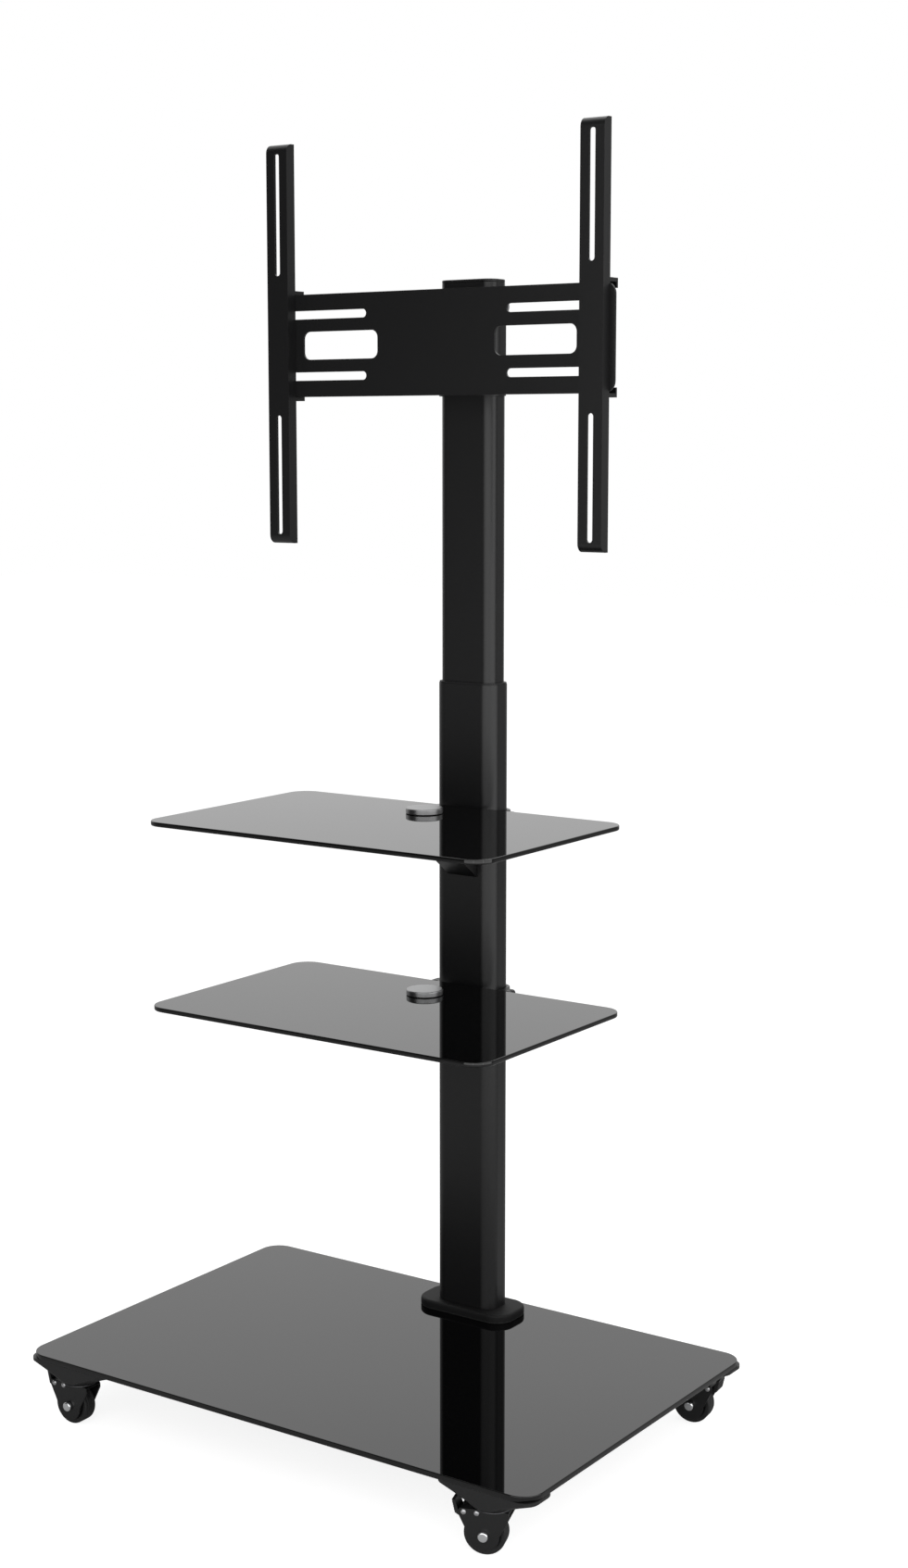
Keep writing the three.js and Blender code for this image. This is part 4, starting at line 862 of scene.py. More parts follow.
def coat_group():
    """Orange peel, slow changes of tone and a little settled dust on upward faces."""
    tree, given, place = surface_tree("coat_surface", {
        "Colour": (0.02, 0.02, 0.02, 1), "Dust Colour": (0.2, 0.19, 0.18, 1),
        "Grain Scale": 900.0, "Tone Spread": 0.1, "Roughness": 0.4, "Roughness Spread": 0.06,
        "Dust": 0.02,
    })
    grain = noise(tree, place, scale=given["Grain Scale"], detail=3.0, Roughness=0.55)
    tone = noise(tree, place, scale=23.0, detail=4.0)
    shade = toned(tree, given["Colour"], tone, given["Tone Spread"])
    facing = node(tree, "ShaderNodeNewGeometry").outputs["Normal"]
    upward = node(tree, "ShaderNodeSeparateXYZ", {0: facing}).outputs["Z"]
    dust = ranged(tree, upward, span=(0.55, 1.0), levels=(0.0, given["Dust"]))
    patches = calculated(tree, "MULTIPLY", dust, calculated(tree, "ADD", tone, grain))
    dusty = overlaid(tree, patches, shade, given["Dust Colour"])
    swing = swung(tree, grain, given["Roughness Spread"])
    rough = calculated(tree, "ADD", given["Roughness"], swing, patches)
    node(tree, "NodeGroupOutput", {"Colour": dusty, "Roughness": rough, "Height": grain})
    return tree


def metal_group():
    """Plating: faint cloudiness, fine scratches and polishing rings about the shelf discs' axis."""
    tree, given, place = surface_tree("plated_surface", {
        "Colour": (0.7, 0.7, 0.7, 1), "Cloud": 0.05, "Roughness": 0.1, "Scratches": 0.05,
        "Rings": 0.0,
    })
    cloud = noise(tree, place, scale=140.0, detail=5.0)
    stretched = result(tree, "ShaderNodeMapping", {
        "Vector": place, "Rotation": (0.5, 0.3, 0.9), "Scale": (90.0, 4200.0, 3100.0),
    })
    scratch = noise(tree, stretched, scale=1.0, detail=2.0)
    axis = result(tree, "ShaderNodeMapping", {
        "Vector": place, "Location": (0.0, -(MAST_Y - SHELF_BOLT_REACH) * MM, 0.0),
        "Scale": (1.0, 1.0, 0.0),
    })
    reach = node(tree, "ShaderNodeVectorMath", {0: axis}, operation="LENGTH").outputs["Value"]
    turning = result(
        tree, "ShaderNodeTexNoise", {"W": reach, "Scale": 2600.0, "Detail": 2.0},
        noise_dimensions="1D",
    )
    shade = toned(tree, given["Colour"], cloud, given["Cloud"])
    worn = calculated(tree, "MULTIPLY", scratch, given["Scratches"])
    rings = calculated(tree, "MULTIPLY", turning, given["Rings"])
    rough = calculated(tree, "ADD", given["Roughness"], worn, rings)
    height = calculated(tree, "ADD", scratch, rings)
    node(tree, "NodeGroupOutput", {"Colour": shade, "Roughness": rough, "Height": height})
    return tree


def glass_group():
    """Polished glass: almost even, with faint wiping marks and specks of dust on top."""
    tree, given, place = surface_tree("glass_surface", {
        "Colour": (0.02, 0.02, 0.02, 1), "Speck Colour": (0.25, 0.25, 0.24, 1),
        "Roughness": 0.01, "Wiping": 0.02, "Specks": 0.1,
    }, ("Colour", "Roughness"))
    swept = result(tree, "ShaderNodeMapping", {
        "Vector": place, "Rotation": (0.0, 0.0, 0.6), "Scale": (5.0, 26.0, 8.0),
    })
    wiped = noise(tree, swept, scale=1.0, detail=5.0, Distortion=0.6)
    marks = ranged(tree, wiped, span=(0.52, 0.75), levels=(0.0, given["Wiping"]))
    cells = node(tree, "ShaderNodeTexVoronoi", {"Vector": place, "Scale": 160.0}, feature="F1")
    dots = cells.outputs["Distance"]
    specks = ranged(tree, dots, span=(0.05, 0.02), levels=(0.0, given["Specks"]))
    specked = overlaid(tree, specks, given["Colour"], given["Speck Colour"])
    rough = calculated(tree, "ADD", given["Roughness"], marks, specks)
    node(tree, "NodeGroupOutput", {"Colour": specked, "Roughness": rough})
    return tree


# Finishes

def emptied(owner):
    """The cleared node tree of a material or a world."""
    owner.use_nodes = True
    owner.node_tree.nodes.clear()
    return owner.node_tree


def finish(name, group, values, bump=0.0, metal=0.0, specular=0.5):
    """A material whose varying colour, roughness and relief come from a group."""
    material = bpy.data.materials.new(name)
    tree = emptied(material)
    surface = node(tree, "ShaderNodeGroup", node_tree=group)
    for socket, value in values.items():
        surface.inputs[socket].default_value = value
    shader = node(tree, "ShaderNodeBsdfPrincipled", {
        "Base Color": surface.outputs["Colour"], "Roughness": surface.outputs["Roughness"],
        "Metallic": metal, "Specular IOR Level": specular, "IOR": 1.5,
    })
    if bump:
        relief = {"Height": surface.outputs["Height"], "Strength": 1.0, "Distance": bump * MM}
        tree.links.new(result(tree, "ShaderNodeBump", relief), shader.inputs["Normal"])
    node(tree, "ShaderNodeOutputMaterial", {"Surface": shader.outputs[0]})
    return material


COAT = coat_group()
METAL = metal_group()
POLISHED = glass_group()

black_glass = finish("black_glass", POLISHED, {
    "Colour": (0.0006, 0.0006, 0.0007, 1), "Roughness": 0.0, "Wiping": 0.02, "Specks": 0.01,
})
satin_black = finish("satin_black_coat", COAT, {
    "Colour": (0.0030, 0.0030, 0.0033, 1), "Grain Scale": 1300.0, "Roughness": 0.36, "Dust": 0.004,
}, bump=0.012)
matt_black = finish("matt_black_coat", COAT, {
    "Colour": (0.0040, 0.0040, 0.0042, 1), "Grain Scale": 1500.0, "Roughness": 0.62, "Dust": 0.004,
}, bump=0.02, specular=0.22)
moulded_black = finish("moulded_black", COAT, {
    "Colour": (0.0050, 0.0050, 0.0053, 1), "Grain Scale": 2600.0, "Roughness": 0.46,
    "Roughness Spread": 0.12, "Dust": 0.006,
}, bump=0.03)
soft_black = finish("soft_black_rubber", COAT, {
    "Colour": (0.007, 0.007, 0.007, 1), "Grain Scale": 3400.0, "Roughness": 0.74,
    "Tone Spread": 0.25, "Dust": 0.02,
}, bump=0.04)
tread_black = finish("tread_rubber", COAT, {
    "Colour": (0.006, 0.006, 0.0063, 1), "Grain Scale": 2100.0, "Roughness": 0.6,
    "Tone Spread": 0.3, "Dust": 0.02,
}, bump=0.05)
chrome = finish("polished_chrome", METAL, {
    "Colour": (0.78, 0.79, 0.80, 1), "Cloud": 0.03, "Roughness": 0.05, "Scratches": 0.04,
    "Rings": 0.06,
}, bump=0.0008, metal=1.0)
satin_chrome = finish("satin_chrome", METAL, {
    "Colour": (0.30, 0.302, 0.305, 1), "Cloud": 0.04, "Roughness": 0.29, "Scratches": 0.04,
    "Rings": 0.06,
}, bump=0.0008, metal=1.0)
zinc = finish("plated_zinc", METAL, {
    "Colour": (0.50, 0.50, 0.51, 1), "Cloud": 0.35, "Roughness": 0.24, "Scratches": 0.16,
}, bump=0.004, metal=1.0)
dark_steel = finish("dark_plated_steel", METAL, {
    "Colour": (0.10, 0.10, 0.105, 1), "Cloud": 0.4, "Roughness": 0.3, "Scratches": 0.2,
}, bump=0.004, metal=1.0)

TUBES = tube_tree()
SCREWS = screw_tree()
NUTS = nut_tree()
RIVETS = rivet_tree()
RIBS = rib_tree()
TREADS = tread_tree()


def placed_row(name, tree, carrier, place, coating, count, **sizes):
    """Repeated shapes drawn about zero, turned to their place on the body of their carrier."""
    piece = grown(name, tree, coating, count, **sizes)
    piece.data.transform(Matrix.Translation(place.translation * MM) @ place.to_3x3().to_4x4())
    finished(piece, coating, carrier)


def fasteners(name, tree, carrier, seats, **sizes):
    """Zinc fasteners at seats, each a place and the way it faces, on their carrier's body."""
    points = bpy.data.meshes.new(name)
    points.from_pydata([Vector(place) * MM for place, way in seats], [], [])
    facing = points.attributes.new("facing", "FLOAT_VECTOR", "POINT")
    facing.data.foreach_set("vector", [x for place, way in seats for x in way])
    finished(shaded(grown(name, tree, zinc, HOLE_STEPS, points, **sizes)), zinc, carrier)


# Glass plates

FOOT_BOLTS = [
    (side * FOOT_BOLT_SPREAD[0] / 2, end * FOOT_BOLT_SPREAD[1] / 2) for side in SIDES for end in SIDES
]


def glass_plate(solid, holes):
    low, high = corners(solid)
    middle = middle_of(solid)
    outline = rounded_rectangle(
        high.x - low.x, high.y - low.y, GLASS_CORNER_RADIUS, GLASS_CORNER_STEPS
    )
    cuts = [moved_loop(hole, -middle.x, -middle.y) for hole in holes]
    form = slab(outline, low.z, high.z, GLASS_ARRIS, cuts)
    fitted(made(f"{solid}_polished", form, shift(middle.x, middle.y)), black_glass)


def all_glass():
    glass_plate("base_glass", [circle(FOOT_BOLT_RADIUS, x, MAST_Y + y) for x, y in FOOT_BOLTS])
    hole = circle(GLASS_HOLE_RADIUS, 0, MAST_Y - SHELF_BOLT_REACH)
    for shelf in SHELVES:
        glass_plate(f"{shelf}_glass", [hole])


# Corner blocks

def block_ring(form, height, inset, corner, tall):
    flare = min(height / (tall - BLOCK_SIDE_HEIGHT), 1) ** BLOCK_FLARE_POWER
    seat = BLOCK_SEAT_RADIUS - inset
    width, depth = ((seat + (size / 2 - inset - seat) * flare) * 2 for size in BLOCK_SIZE)
    start = seat * BLOCK_SEAT_ROUND_SHARE
    loop = rounded_rectangle(width, depth, start + (corner - start) * flare)
    return [form.verts.new((x, y, height)) for x, y in loop]


def block_loft(bottom, top, inset, corner, tall):
    """From a round seat at the bottom to a rounded rectangle, then straight up."""
    form = bmesh.new()
    rise = tall - BLOCK_SIDE_HEIGHT - bottom
    heights = [bottom + rise * ring / BLOCK_RINGS for ring in range(BLOCK_RINGS + 1)]
    rings = [block_ring(form, height, inset, corner, tall) for height in [*heights, top]]
    for lower, upper in zip(rings, rings[1:]):
        for i in range(len(lower)):
            form.faces.new((lower[i - 1], lower[i], upper[i], upper[i - 1]))
    form.faces.new(rings[0])
    form.faces.new(rings[-1])
    return form


def corner_block(name):
    """A moulding cored out from above, with cross ribs and a boss for the kingpin."""
    low, high = corners(f"corner_block_{name}")
    tall = high.z - low.z
    place = shift((low.x + high.x) / 2, (low.y + high.y) / 2, low.z)
    through = (tall + OVERRUN * 2) * 2
    width, depth = BLOCK_SIZE
    ribs = [rod(BLOCK_BOSS_RADIUS, through), block(width, BLOCK_RIB_THICKNESS, through)]
    tools = [made("rib", rib, place) for rib in ribs]
    for side in SIDES:
        rib = block(BLOCK_RIB_THICKNESS, depth, through)
        tools.append(made("rib", rib, place @ shift(side * BLOCK_RIB_PLACE)))
    core = block_loft(BLOCK_WALL, tall + OVERRUN, BLOCK_WALL, BLOCK_HOLLOW_RADIUS, tall)
    hollow = carved(made("hollow", core, place), *tools)
    shell = block_loft(0, tall, 0, BLOCK_CORNER_RADIUS, tall)
    skin = made(f"corner_block_{name}_moulded", shell, place)
    carved(skin, hollow, bore(KINGPIN_RADIUS, (KINGPIN_HEIGHT + FIT_GAP * 2) * 2, place))
    fitted(eased(skin, BLOCK_EDGE, BLOCK_BEVEL_ANGLE), moulded_black)


# Casters, each drawn with its kingpin on Z, its trail along +X and its axle along Y

def tyre():
    inner = WHEEL_RADIUS - TYRE_DEPTH
    half = WHEEL_WIDTH / 2
    groove = WHEEL_RADIUS - TREAD_GROOVE
    profile = [(inner, -half), (WHEEL_RADIUS, -half)]
    for place in (-half / 2, half / 2):
        profile += [
            (WHEEL_RADIUS, place - TREAD_GROOVE * 2), (groove, place - TREAD_GROOVE),
            (groove, place + TREAD_GROOVE), (WHEEL_RADIUS, place + TREAD_GROOVE * 2),
        ]
    profile += [(WHEEL_RADIUS, half), (inner, half), (inner, -half)]
    return turned(profile, TYRE_SHOULDER)


def hub():
    rim = WHEEL_RADIUS - TYRE_DEPTH - FIT_GAP
    well = rim - HUB_RIM_THICKNESS
    half = WHEEL_WIDTH / 2
    web = HUB_WEB_THICKNESS / 2
    boss = LEG_INNER - FIT_GAP
    inner = AXLE_RADIUS + FIT_GAP
    return turned([
        (inner, -boss), (HUB_BOSS_RADIUS, -boss), (HUB_BOSS_RADIUS, -web), (well, -web),
        (well, -half), (rim, -half), (rim, half), (well, half), (well, web),
        (HUB_BOSS_RADIUS, web), (HUB_BOSS_RADIUS, boss), (inner, boss), (inner, -boss),
    ], HUB_SOFTNESS)


def headed_pin(radius, half, head_radius, head_height, softness):
    """A pin about the middle of its grip, which is twice a half, with a head at each end."""
    tip = half + head_height
    return turned([
        (0, -tip), (head_radius, -tip), (head_radius, -half), (radius, -half),
        (radius, half), (head_radius, half), (head_radius, tip), (0, tip),
    ], softness)


def axle():
    seat = LEG_OUTER + FIT_GAP
    return headed_pin(AXLE_RADIUS, seat, AXLE_HEAD_RADIUS, AXLE_HEAD_HEIGHT, AXLE_SOFTNESS)


def race():
    tip = RACE_HEIGHT + KINGPIN_HEIGHT
    return turned([
        (0, 0), (RACE_RADIUS, 0), (RACE_RADIUS, RACE_LIP), (RACE_CUP_RADIUS, RACE_HEIGHT),
        (KINGPIN_RADIUS, RACE_HEIGHT), (KINGPIN_RADIUS, tip), (0, tip),
    ], RACE_SOFTNESS)


def fork(name, place, wheel):
    corner = CROWN_CORNER
    height = CROWN_TOP - corner
    front = CROWN_AHEAD_OF_PIVOT
    back = -CROWN_BEHIND_PIVOT
    outline = arc(CASTER_TRAIL, WHEEL_RADIUS, LEG_END_RADIUS, math.pi, FULL_TURN, FINE_STEPS)
    outline += [(front, KNEE_HEIGHT)]
    outline += arc(front - corner, height, corner, 0, QUARTER, SOFTENING_STEPS)
    outline += arc(back + corner, height, corner, QUARTER, math.pi, SOFTENING_STEPS)
    outline += [(back, KNEE_HEIGHT)]
    whole = made(f"fork_{name}_pressed", slab(outline, -LEG_OUTER, LEG_OUTER), place @ FORWARD)
    space = block((front + OVERRUN) * 2, LEG_INNER * 2, CROWN_UNDERSIDE * 2)
    hole = bore(AXLE_RADIUS, (LEG_OUTER + OVERRUN) * 2, wheel)
    carved(whole, made("space", space, place), hole)
    fitted(eased(whole, FORK_EDGE), satin_black)


def brake(name, place):
    """The brake's lever with the treads of its pedal, and its cross pin."""
    solid = f"brake_lever_{name}"
    low, high = corners(solid)
    pin_height = low.z + BRAKE_SHOE_DROP
    rise = high.z - pin_height
    at_pin = place @ shift(BRAKE_PIN_AHEAD, 0, pin_height) @ FORWARD
    toe = BRAKE_HEEL + BRAKE_PEDAL_THICKNESS
    outline = [
        (-BRAKE_BACK, -BRAKE_SHOE_DROP), (BRAKE_HALF_DEPTH, -BRAKE_SHOE_DROP), (toe, 0),
        (toe + BRAKE_PEDAL_LEAN, rise), (BRAKE_HEEL + BRAKE_PEDAL_LEAN, rise),
        (BRAKE_HEEL, BRAKE_HALF_DEPTH), (-BRAKE_BACK, BRAKE_HALF_DEPTH),
    ]
    half = LEG_INNER - FIT_GAP
    lever = made(f"{solid}_pressed", slab(outline, -half, half), at_pin)
    carved(lever, bore(BRAKE_PIN_RADIUS, (half + OVERRUN) * 2, at_pin))
    fitted(eased(lever, BRAKE_EDGE), satin_black)
    lean = Matrix.Rotation(math.atan2(-BRAKE_PEDAL_LEAN, rise), 4, "Z")
    lowest = (rise - BRAKE_TREAD_PITCH * (BRAKE_TREADS - 1)) / 2
    placed_row(
        f"brake_treads_{name}", TREADS, solid, at_pin @ shift(toe) @ lean @ shift(0, lowest),
        satin_black, BRAKE_TREADS, width=BRAKE_TREAD_WIDTH, rise=BRAKE_TREAD_RISE * 2,
        length=(half - BRAKE_EDGE) * 2, pitch=BRAKE_TREAD_PITCH,
    )
    end = (LEG_INNER + LEG_OUTER) / 2
    pin = drum(BRAKE_PIN_RADIUS, -end, end, BRAKE_PIN_SOFTNESS)
    finished(shaded(made(f"brake_pin_{name}", pin, at_pin)), zinc, f"fork_{name}")


def fork_rivets(name, place):
    """The rivets of the brake's spring, on both sides of the fork."""
    seats = []
    for side in SIDES:
        way = place.to_3x3() @ Vector((0, side, 0))
        for ahead, height in RIVET_PLACES:
            seats.append((place @ Vector((ahead, side * LEG_OUTER, height)), way))
    fasteners(f"fork_rivets_{name}", RIVETS, f"fork_{name}", seats, **FORK_RIVET)


def caster(name, turn):
    pivot = middle_of(f"corner_block_{name}")
    place = shift(pivot.x, pivot.y) @ Matrix.Rotation(math.radians(turn), 4, "Z")
    wheel = place @ shift(CASTER_TRAIL, 0, WHEEL_RADIUS) @ FORWARD
    corner_block(name)
    fork(name, place, wheel)
    brake(name, place)
    fork_rivets(name, place)
    for part, way, form, spot, coating in (
        ("swivel_race", "turned", race(), place @ shift(0, 0, CROWN_TOP), dark_steel),
        ("tyre", "moulded", tyre(), wheel, tread_black),
        ("axle", "turned", axle(), wheel, chrome),
        ("hub", "moulded", hub(), wheel, moulded_black),
    ):
        fitted(shaded(made(f"{part}_{name}_{way}", form, spot)), coating)
    placed_row(
        f"hub_ribs_{name}", RIBS, f"hub_{name}", wheel, moulded_black, HUB_RIBS,
        inner=HUB_BOSS_RADIUS - HUB_RIB_ROOT, outer=WHEEL_RADIUS - TYRE_DEPTH - HUB_RIM_THICKNESS,
        thickness=HUB_RIB_THICKNESS, width=WHEEL_WIDTH - HUB_RIB_SETBACK * 2,
    )


# Foot of the mast

def foot_sheet(solid, way, top, edge, draw=0, holes=()):
    """A rounded plate as wide as its solid, less a draw all round."""
    low, high = corners(solid)
    outline = rounded_rectangle(
        high.x - low.x - draw * 2, high.y - low.y - draw * 2, FOOT_RADIUS - draw, FINE_STEPS
    )
    return made(f"{solid}_{way}", slab(outline, low.z, top, edge, holes), ON_MAST)


def foot():
    holes = [circle(FOOT_BOLT_RADIUS, x, y) for x, y in FOOT_BOLTS]
    for solid, coating, edge, draw in (
        ("under_plate", dark_steel, UNDER_PLATE_EDGE, 0),
        ("foot_gasket", soft_black, GASKET_EDGE, GASKET_DRAW),
    ):
        fitted(foot_sheet(solid, "cut", corners(solid)[1].z, edge, draw, holes), coating)
    plate = foot_sheet("foot_plate", "coated", FOOT_TOP, FOOT_EDGES)
    outline = tube_outline(-TUBE_WALL - FIT_GAP)
    peg = slab(outline, FOOT_TOP - OVERLAP, FOOT_TOP + SPIGOT_HEIGHT, SPIGOT_EDGE)
    bottom = corners("foot_plate")[0].z - OVERLAP
    bores = [slab(hole, bottom, FOOT_TOP + FOOT_BORE_HEIGHT) for hole in holes]
    welded(plate, made("spigot", peg, ON_MAST))
    carved(plate, *[made("bore", form, ON_MAST) for form in bores])
    fitted(shaded(plate), matt_black)
    under = corners("under_plate")[0].z
    seats = [((x, MAST_Y + y, under), (0, 0, -1)) for x, y in FOOT_BOLTS]
    fasteners("foot_bolts", NUTS, "under_plate", seats, **FOOT_NUT)


# Mast tubes and their plastic parts

def tube(name, inset, wall, bottom, top, rim=TUBE_RIM_EDGE):
    """A tube set in from the lower tube's outline, with rounded rims."""
    width, depth = (size - inset * 2 for size in TUBE_SIZE)
    piece = grown(
        name, TUBES, satin_black, FINE_STEPS,
        width=width, depth=depth, radius=TUBE_RADIUS - inset, wall=wall, length=top - bottom,
    )
    piece.data.transform(Matrix.Translation(Vector((0, MAST_Y, bottom)) * MM))
    return bevelled(piece, rim, RIM_SEGMENTS, RIM_ANGLE) if rim else piece


def mast_place(height, behind=0):
    """A place behind the mast's axis, with Z turned to the front."""
    return shift(0, MAST_Y + behind, height) @ FORWARD


def lock_bore():
    depth = TUBE_SIZE[1]
    return bore(LOCK_STUD_RADIUS, depth / 2, mast_place(LOCK_HEIGHT, depth / 2))


def saddle_bolt_place(end):
    return HEAD @ shift(0, 0, end * SADDLE_BOLT_SPREAD / 2) @ ACROSS


def lower_tube():
    rim = corners("outer_tube")[1]
    piece = tube("outer_tube_coated", 0, TUBE_WALL, FOOT_TOP, rim.z)
    seat = (TUBE_WALL - TUBE_SIZE[1]) / 2
    nut = drum(LOCK_NUT_RADIUS, MAST_Y - rim.y, seat, LOCK_NUT_SOFTNESS)
    welded(piece, made("nut", nut, mast_place(LOCK_HEIGHT)))
    fitted(shaded(carved(piece, lock_bore())), satin_black)


def upper_tube():
    piece = tube("inner_tube_coated", TUBE_STEP, TUBE_WALL, MAST_LOW.z, MAST_HIGH.z)
    half = INNER_DEPTH / 2
    cuts = []
    for step in INDEX_HOLE_STEPS:
        place = mast_place(LOCK_HEIGHT + step * INDEX_HOLE_PITCH, half)
        cuts.append(bore(INDEX_HOLE_RADIUS, half, place, 0))
    cuts += [bore(TILT_BOLT_RADIUS, TUBE_SIZE[0], saddle_bolt_place(end)) for end in SIDES]
    fitted(shaded(carved(piece, *cuts)), satin_black)


def guide_bush():
    low, high = corners("guide_bush")
    rim = corners("outer_tube")[1].z
    inset = TUBE_WALL + FIT_GAP
    gap = TUBE_STEP - FIT_GAP
    sleeve = tube("guide_bush_moulded", inset, gap - inset, low.z, high.z - BUSH_SLEEVE_DROP, 0)
    lip = tube("lip", BUSH_LIP_INSET, gap - BUSH_LIP_INSET, rim, high.z, BUSH_LIP_EDGE)
    fitted(shaded(carved(welded(sleeve, lip), lock_bore())), moulded_black)


def plug(solid, inset, flange_ends, plug_ends):
    """A flange at an end of the upper tube, welded to a plug in its bore."""
    flange = slab(tube_outline(-inset), *flange_ends, PLUG_FLANGE_EDGE)
    core = slab(tube_outline(-TUBE_STEP - TUBE_WALL - FIT_GAP), *plug_ends, PLUG_EDGE)
    piece = welded(made(f"{solid}_moulded", flange, ON_MAST), made("plug", core, ON_MAST))
    fitted(shaded(piece), moulded_black)


def mast_plugs():
    low, high = corners("mast_cap")
    rim = MAST_HIGH.z
    plug("mast_cap", TUBE_STEP, (rim, high.z), (low.z, rim + OVERLAP))
    low, high = corners("mast_glide")
    rim = MAST_LOW.z
    plug("mast_glide", TUBE_WALL + FIT_GAP, (low.z, rim), (rim - OVERLAP, high.z))


# Lobed knobs, drawn standing on zero

def knob(name, radius, thickness, place):
    points = []
    for i in range(KNOB_POINTS):
        angle = FULL_TURN * i / KNOB_POINTS
        dip = (1 - math.cos(angle * KNOB_LOBES)) / 2
        reach = radius * (1 - KNOB_LOBE_SHARE * dip)
        points.append((reach * math.cos(angle), reach * math.sin(angle)))
    grip = made(name, slab(points, 0, thickness - KNOB_BUTTON_RISE, KNOB_EDGE), place)
    button = drum(radius * KNOB_BUTTON_SHARE, thickness / 2, thickness, KNOB_BUTTON_SOFTNESS)
    return welded(grip, made("button", button, place))


def mast_knob():
    low, high = corners("mast_knob")
    thickness = MAST_KNOB_THICKNESS
    out = shift(0, high.y - thickness, LOCK_HEIGHT) @ Matrix.Rotation(-QUARTER, 4, "X")
    piece = knob("mast_knob_moulded", MAST_KNOB_RADIUS, thickness, out)
    length = high.y - thickness / 2 - low.y
    place = mast_place(LOCK_HEIGHT, low.y - MAST_Y + length / 2)
    stud = made("stud", rod(LOCK_STUD_RADIUS, length), place)
    fitted(shaded(welded(piece, stud)), moulded_black)


# Shelf supports, drawn about the mast's axis with zero at the top of the glass

def collar_half(name, side, place):
    """Half of a shelf's clamp with its two ears; the side is -1 at the front, 1 at the rear."""
    width, depth = TUBE_SIZE
    bottom = COLLAR_TOP - COLLAR_HEIGHT
    outer = tube_outline(FIT_GAP + COLLAR_WALL, FINE_STEPS)
    inner = tube_outline(FIT_GAP, FINE_STEPS)
    band = made(name, slab(outer, bottom, COLLAR_TOP, 0, [inner]), place)
    split = side * COLLAR_SPLIT / 2
    away = block(width * 3, depth * 2, COLLAR_HEIGHT * 4)
    carved(band, made("away", away, place @ shift(0, split - side * depth, bottom)))
    start = width / 2 + FIT_GAP + COLLAR_WALL / 2
    end = width / 2 + EAR_REACH
    wing = rounded_rectangle((end - start) * 2, COLLAR_HEIGHT, EAR_CORNER_RADIUS)
    back = split + EAR_THICKNESS if side > 0 else split
    level = bottom + COLLAR_HEIGHT / 2
    ears = []
    cuts = [made("bore", slab(inner, bottom * 2, 0), place)]
    for way in SIDES:
        ear_place = place @ shift(way * start, back, level) @ FORWARD
        ears.append(made("ear", slab(wing, 0, EAR_THICKNESS), ear_place))
        hole_place = place @ shift(way * (end - EAR_HOLE_INSET), split, level) @ FORWARD
        cuts.append(bore(EAR_HOLE_RADIUS, (EAR_THICKNESS + OVERRUN) * 2, hole_place, 0))
    return carved(welded(band, *ears), *cuts)


def arm_beam(place):
    """The tapered beam under a shelf's arm plate, and the cutter that hollows it."""
    tip = -SHELF_BOLT_REACH - ARM_BEAM_TIP
    root = -TUBE_SIZE[1] / 2 - FIT_GAP
    under = ARM_PLATE_UNDERSIDE
    tip_bottom = under - ARM_TIP_DEPTH
    root_bottom = under - ARM_ROOT_DEPTH
    middle = under + ARM_PLATE_THICKNESS / 2
    slope = (root_bottom - tip_bottom) / (root - tip)
    floor = ARM_WALL * math.hypot(1, slope)
    inner_tip = tip + (floor + ARM_WALL - ARM_TIP_DEPTH) / -slope
    inner_root = root + OVERRUN
    inner_bottom = tip_bottom + slope * (inner_root - tip) + floor
    outer = [(tip, middle), (tip, tip_bottom), (root, root_bottom), (root, middle)]
    inner = [
        (inner_tip, under), (inner_tip, under - ARM_WALL), (inner_root, inner_bottom),
        (inner_root, under),
    ]
    half = ARM_BEAM_WIDTH / 2
    inner_half = half - ARM_WALL
    beam = made("beam", slab(outer, -half, half), place @ ACROSS)
    return beam, made("hollow", slab(inner, -inner_half, inner_half), place @ ACROSS)


def shelf_arm(shelf, place):
    arm = collar_half(f"{shelf}_arm_welded", -1, place)
    root = -TUBE_SIZE[1] / 2 - FIT_GAP - COLLAR_WALL / 2
    outline = tongue_outline(SHELF_BOLT_REACH, ARM_PLATE_RADIUS, root, ARM_PLATE_STEPS)
    plate = made("plate", slab(outline, ARM_PLATE_UNDERSIDE, ARM_PLATE_TOP), place)
    beam, hollow = arm_beam(place)
    at_bolt = place @ shift(0, -SHELF_BOLT_REACH, ARM_PLATE_UNDERSIDE)
    hole = bore(SHELF_BOLT_RADIUS, ARM_PLATE_THICKNESS * 3, at_bolt)
    carved(welded(arm, plate, beam), hollow, hole)
    band = collar_half(f"{shelf}_band_formed", 1, place)
    for piece in (arm, band):
        fitted(eased(piece, ARM_EDGE), satin_black)


def shelf_disc(shelf, top):
    """The rubber under and over the glass, and the disc whose skirt comes down round it."""
    bolt = shift(0, MAST_Y - SHELF_BOLT_REACH)
    low, high = corners(f"{shelf}_disc")
    radius = (high.x - low.x) / 2
    recess = radius - DISC_SKIRT
    for part in ("pad", "washer"):
        under, over = corners(f"{shelf}_{part}")
        outer = (over.x - under.x) / 2 if part == "pad" else recess - FIT_GAP
        ring = turned([
            (GLASS_HOLE_RADIUS, under.z), (outer, under.z), (outer, over.z),
            (GLASS_HOLE_RADIUS, over.z), (GLASS_HOLE_RADIUS, under.z),
        ], WASHER_SOFTNESS)
        fitted(shaded(made(f"{shelf}_{part}_cut", ring, bolt)), soft_black)
    seat = corners(f"{shelf}_washer")[1].z
    rim = top + FIT_GAP
    disc = turned([
        (0, low.z), (SHELF_BOLT_RADIUS, low.z), (SHELF_BOLT_RADIUS, seat), (recess, seat),
        (recess, rim), (radius, rim), (radius, high.z), (0, high.z),
    ], DISC_ROUNDING, DISC_STEPS)
    fitted(shaded(made(f"{shelf}_disc_turned", disc, bolt)), satin_chrome)


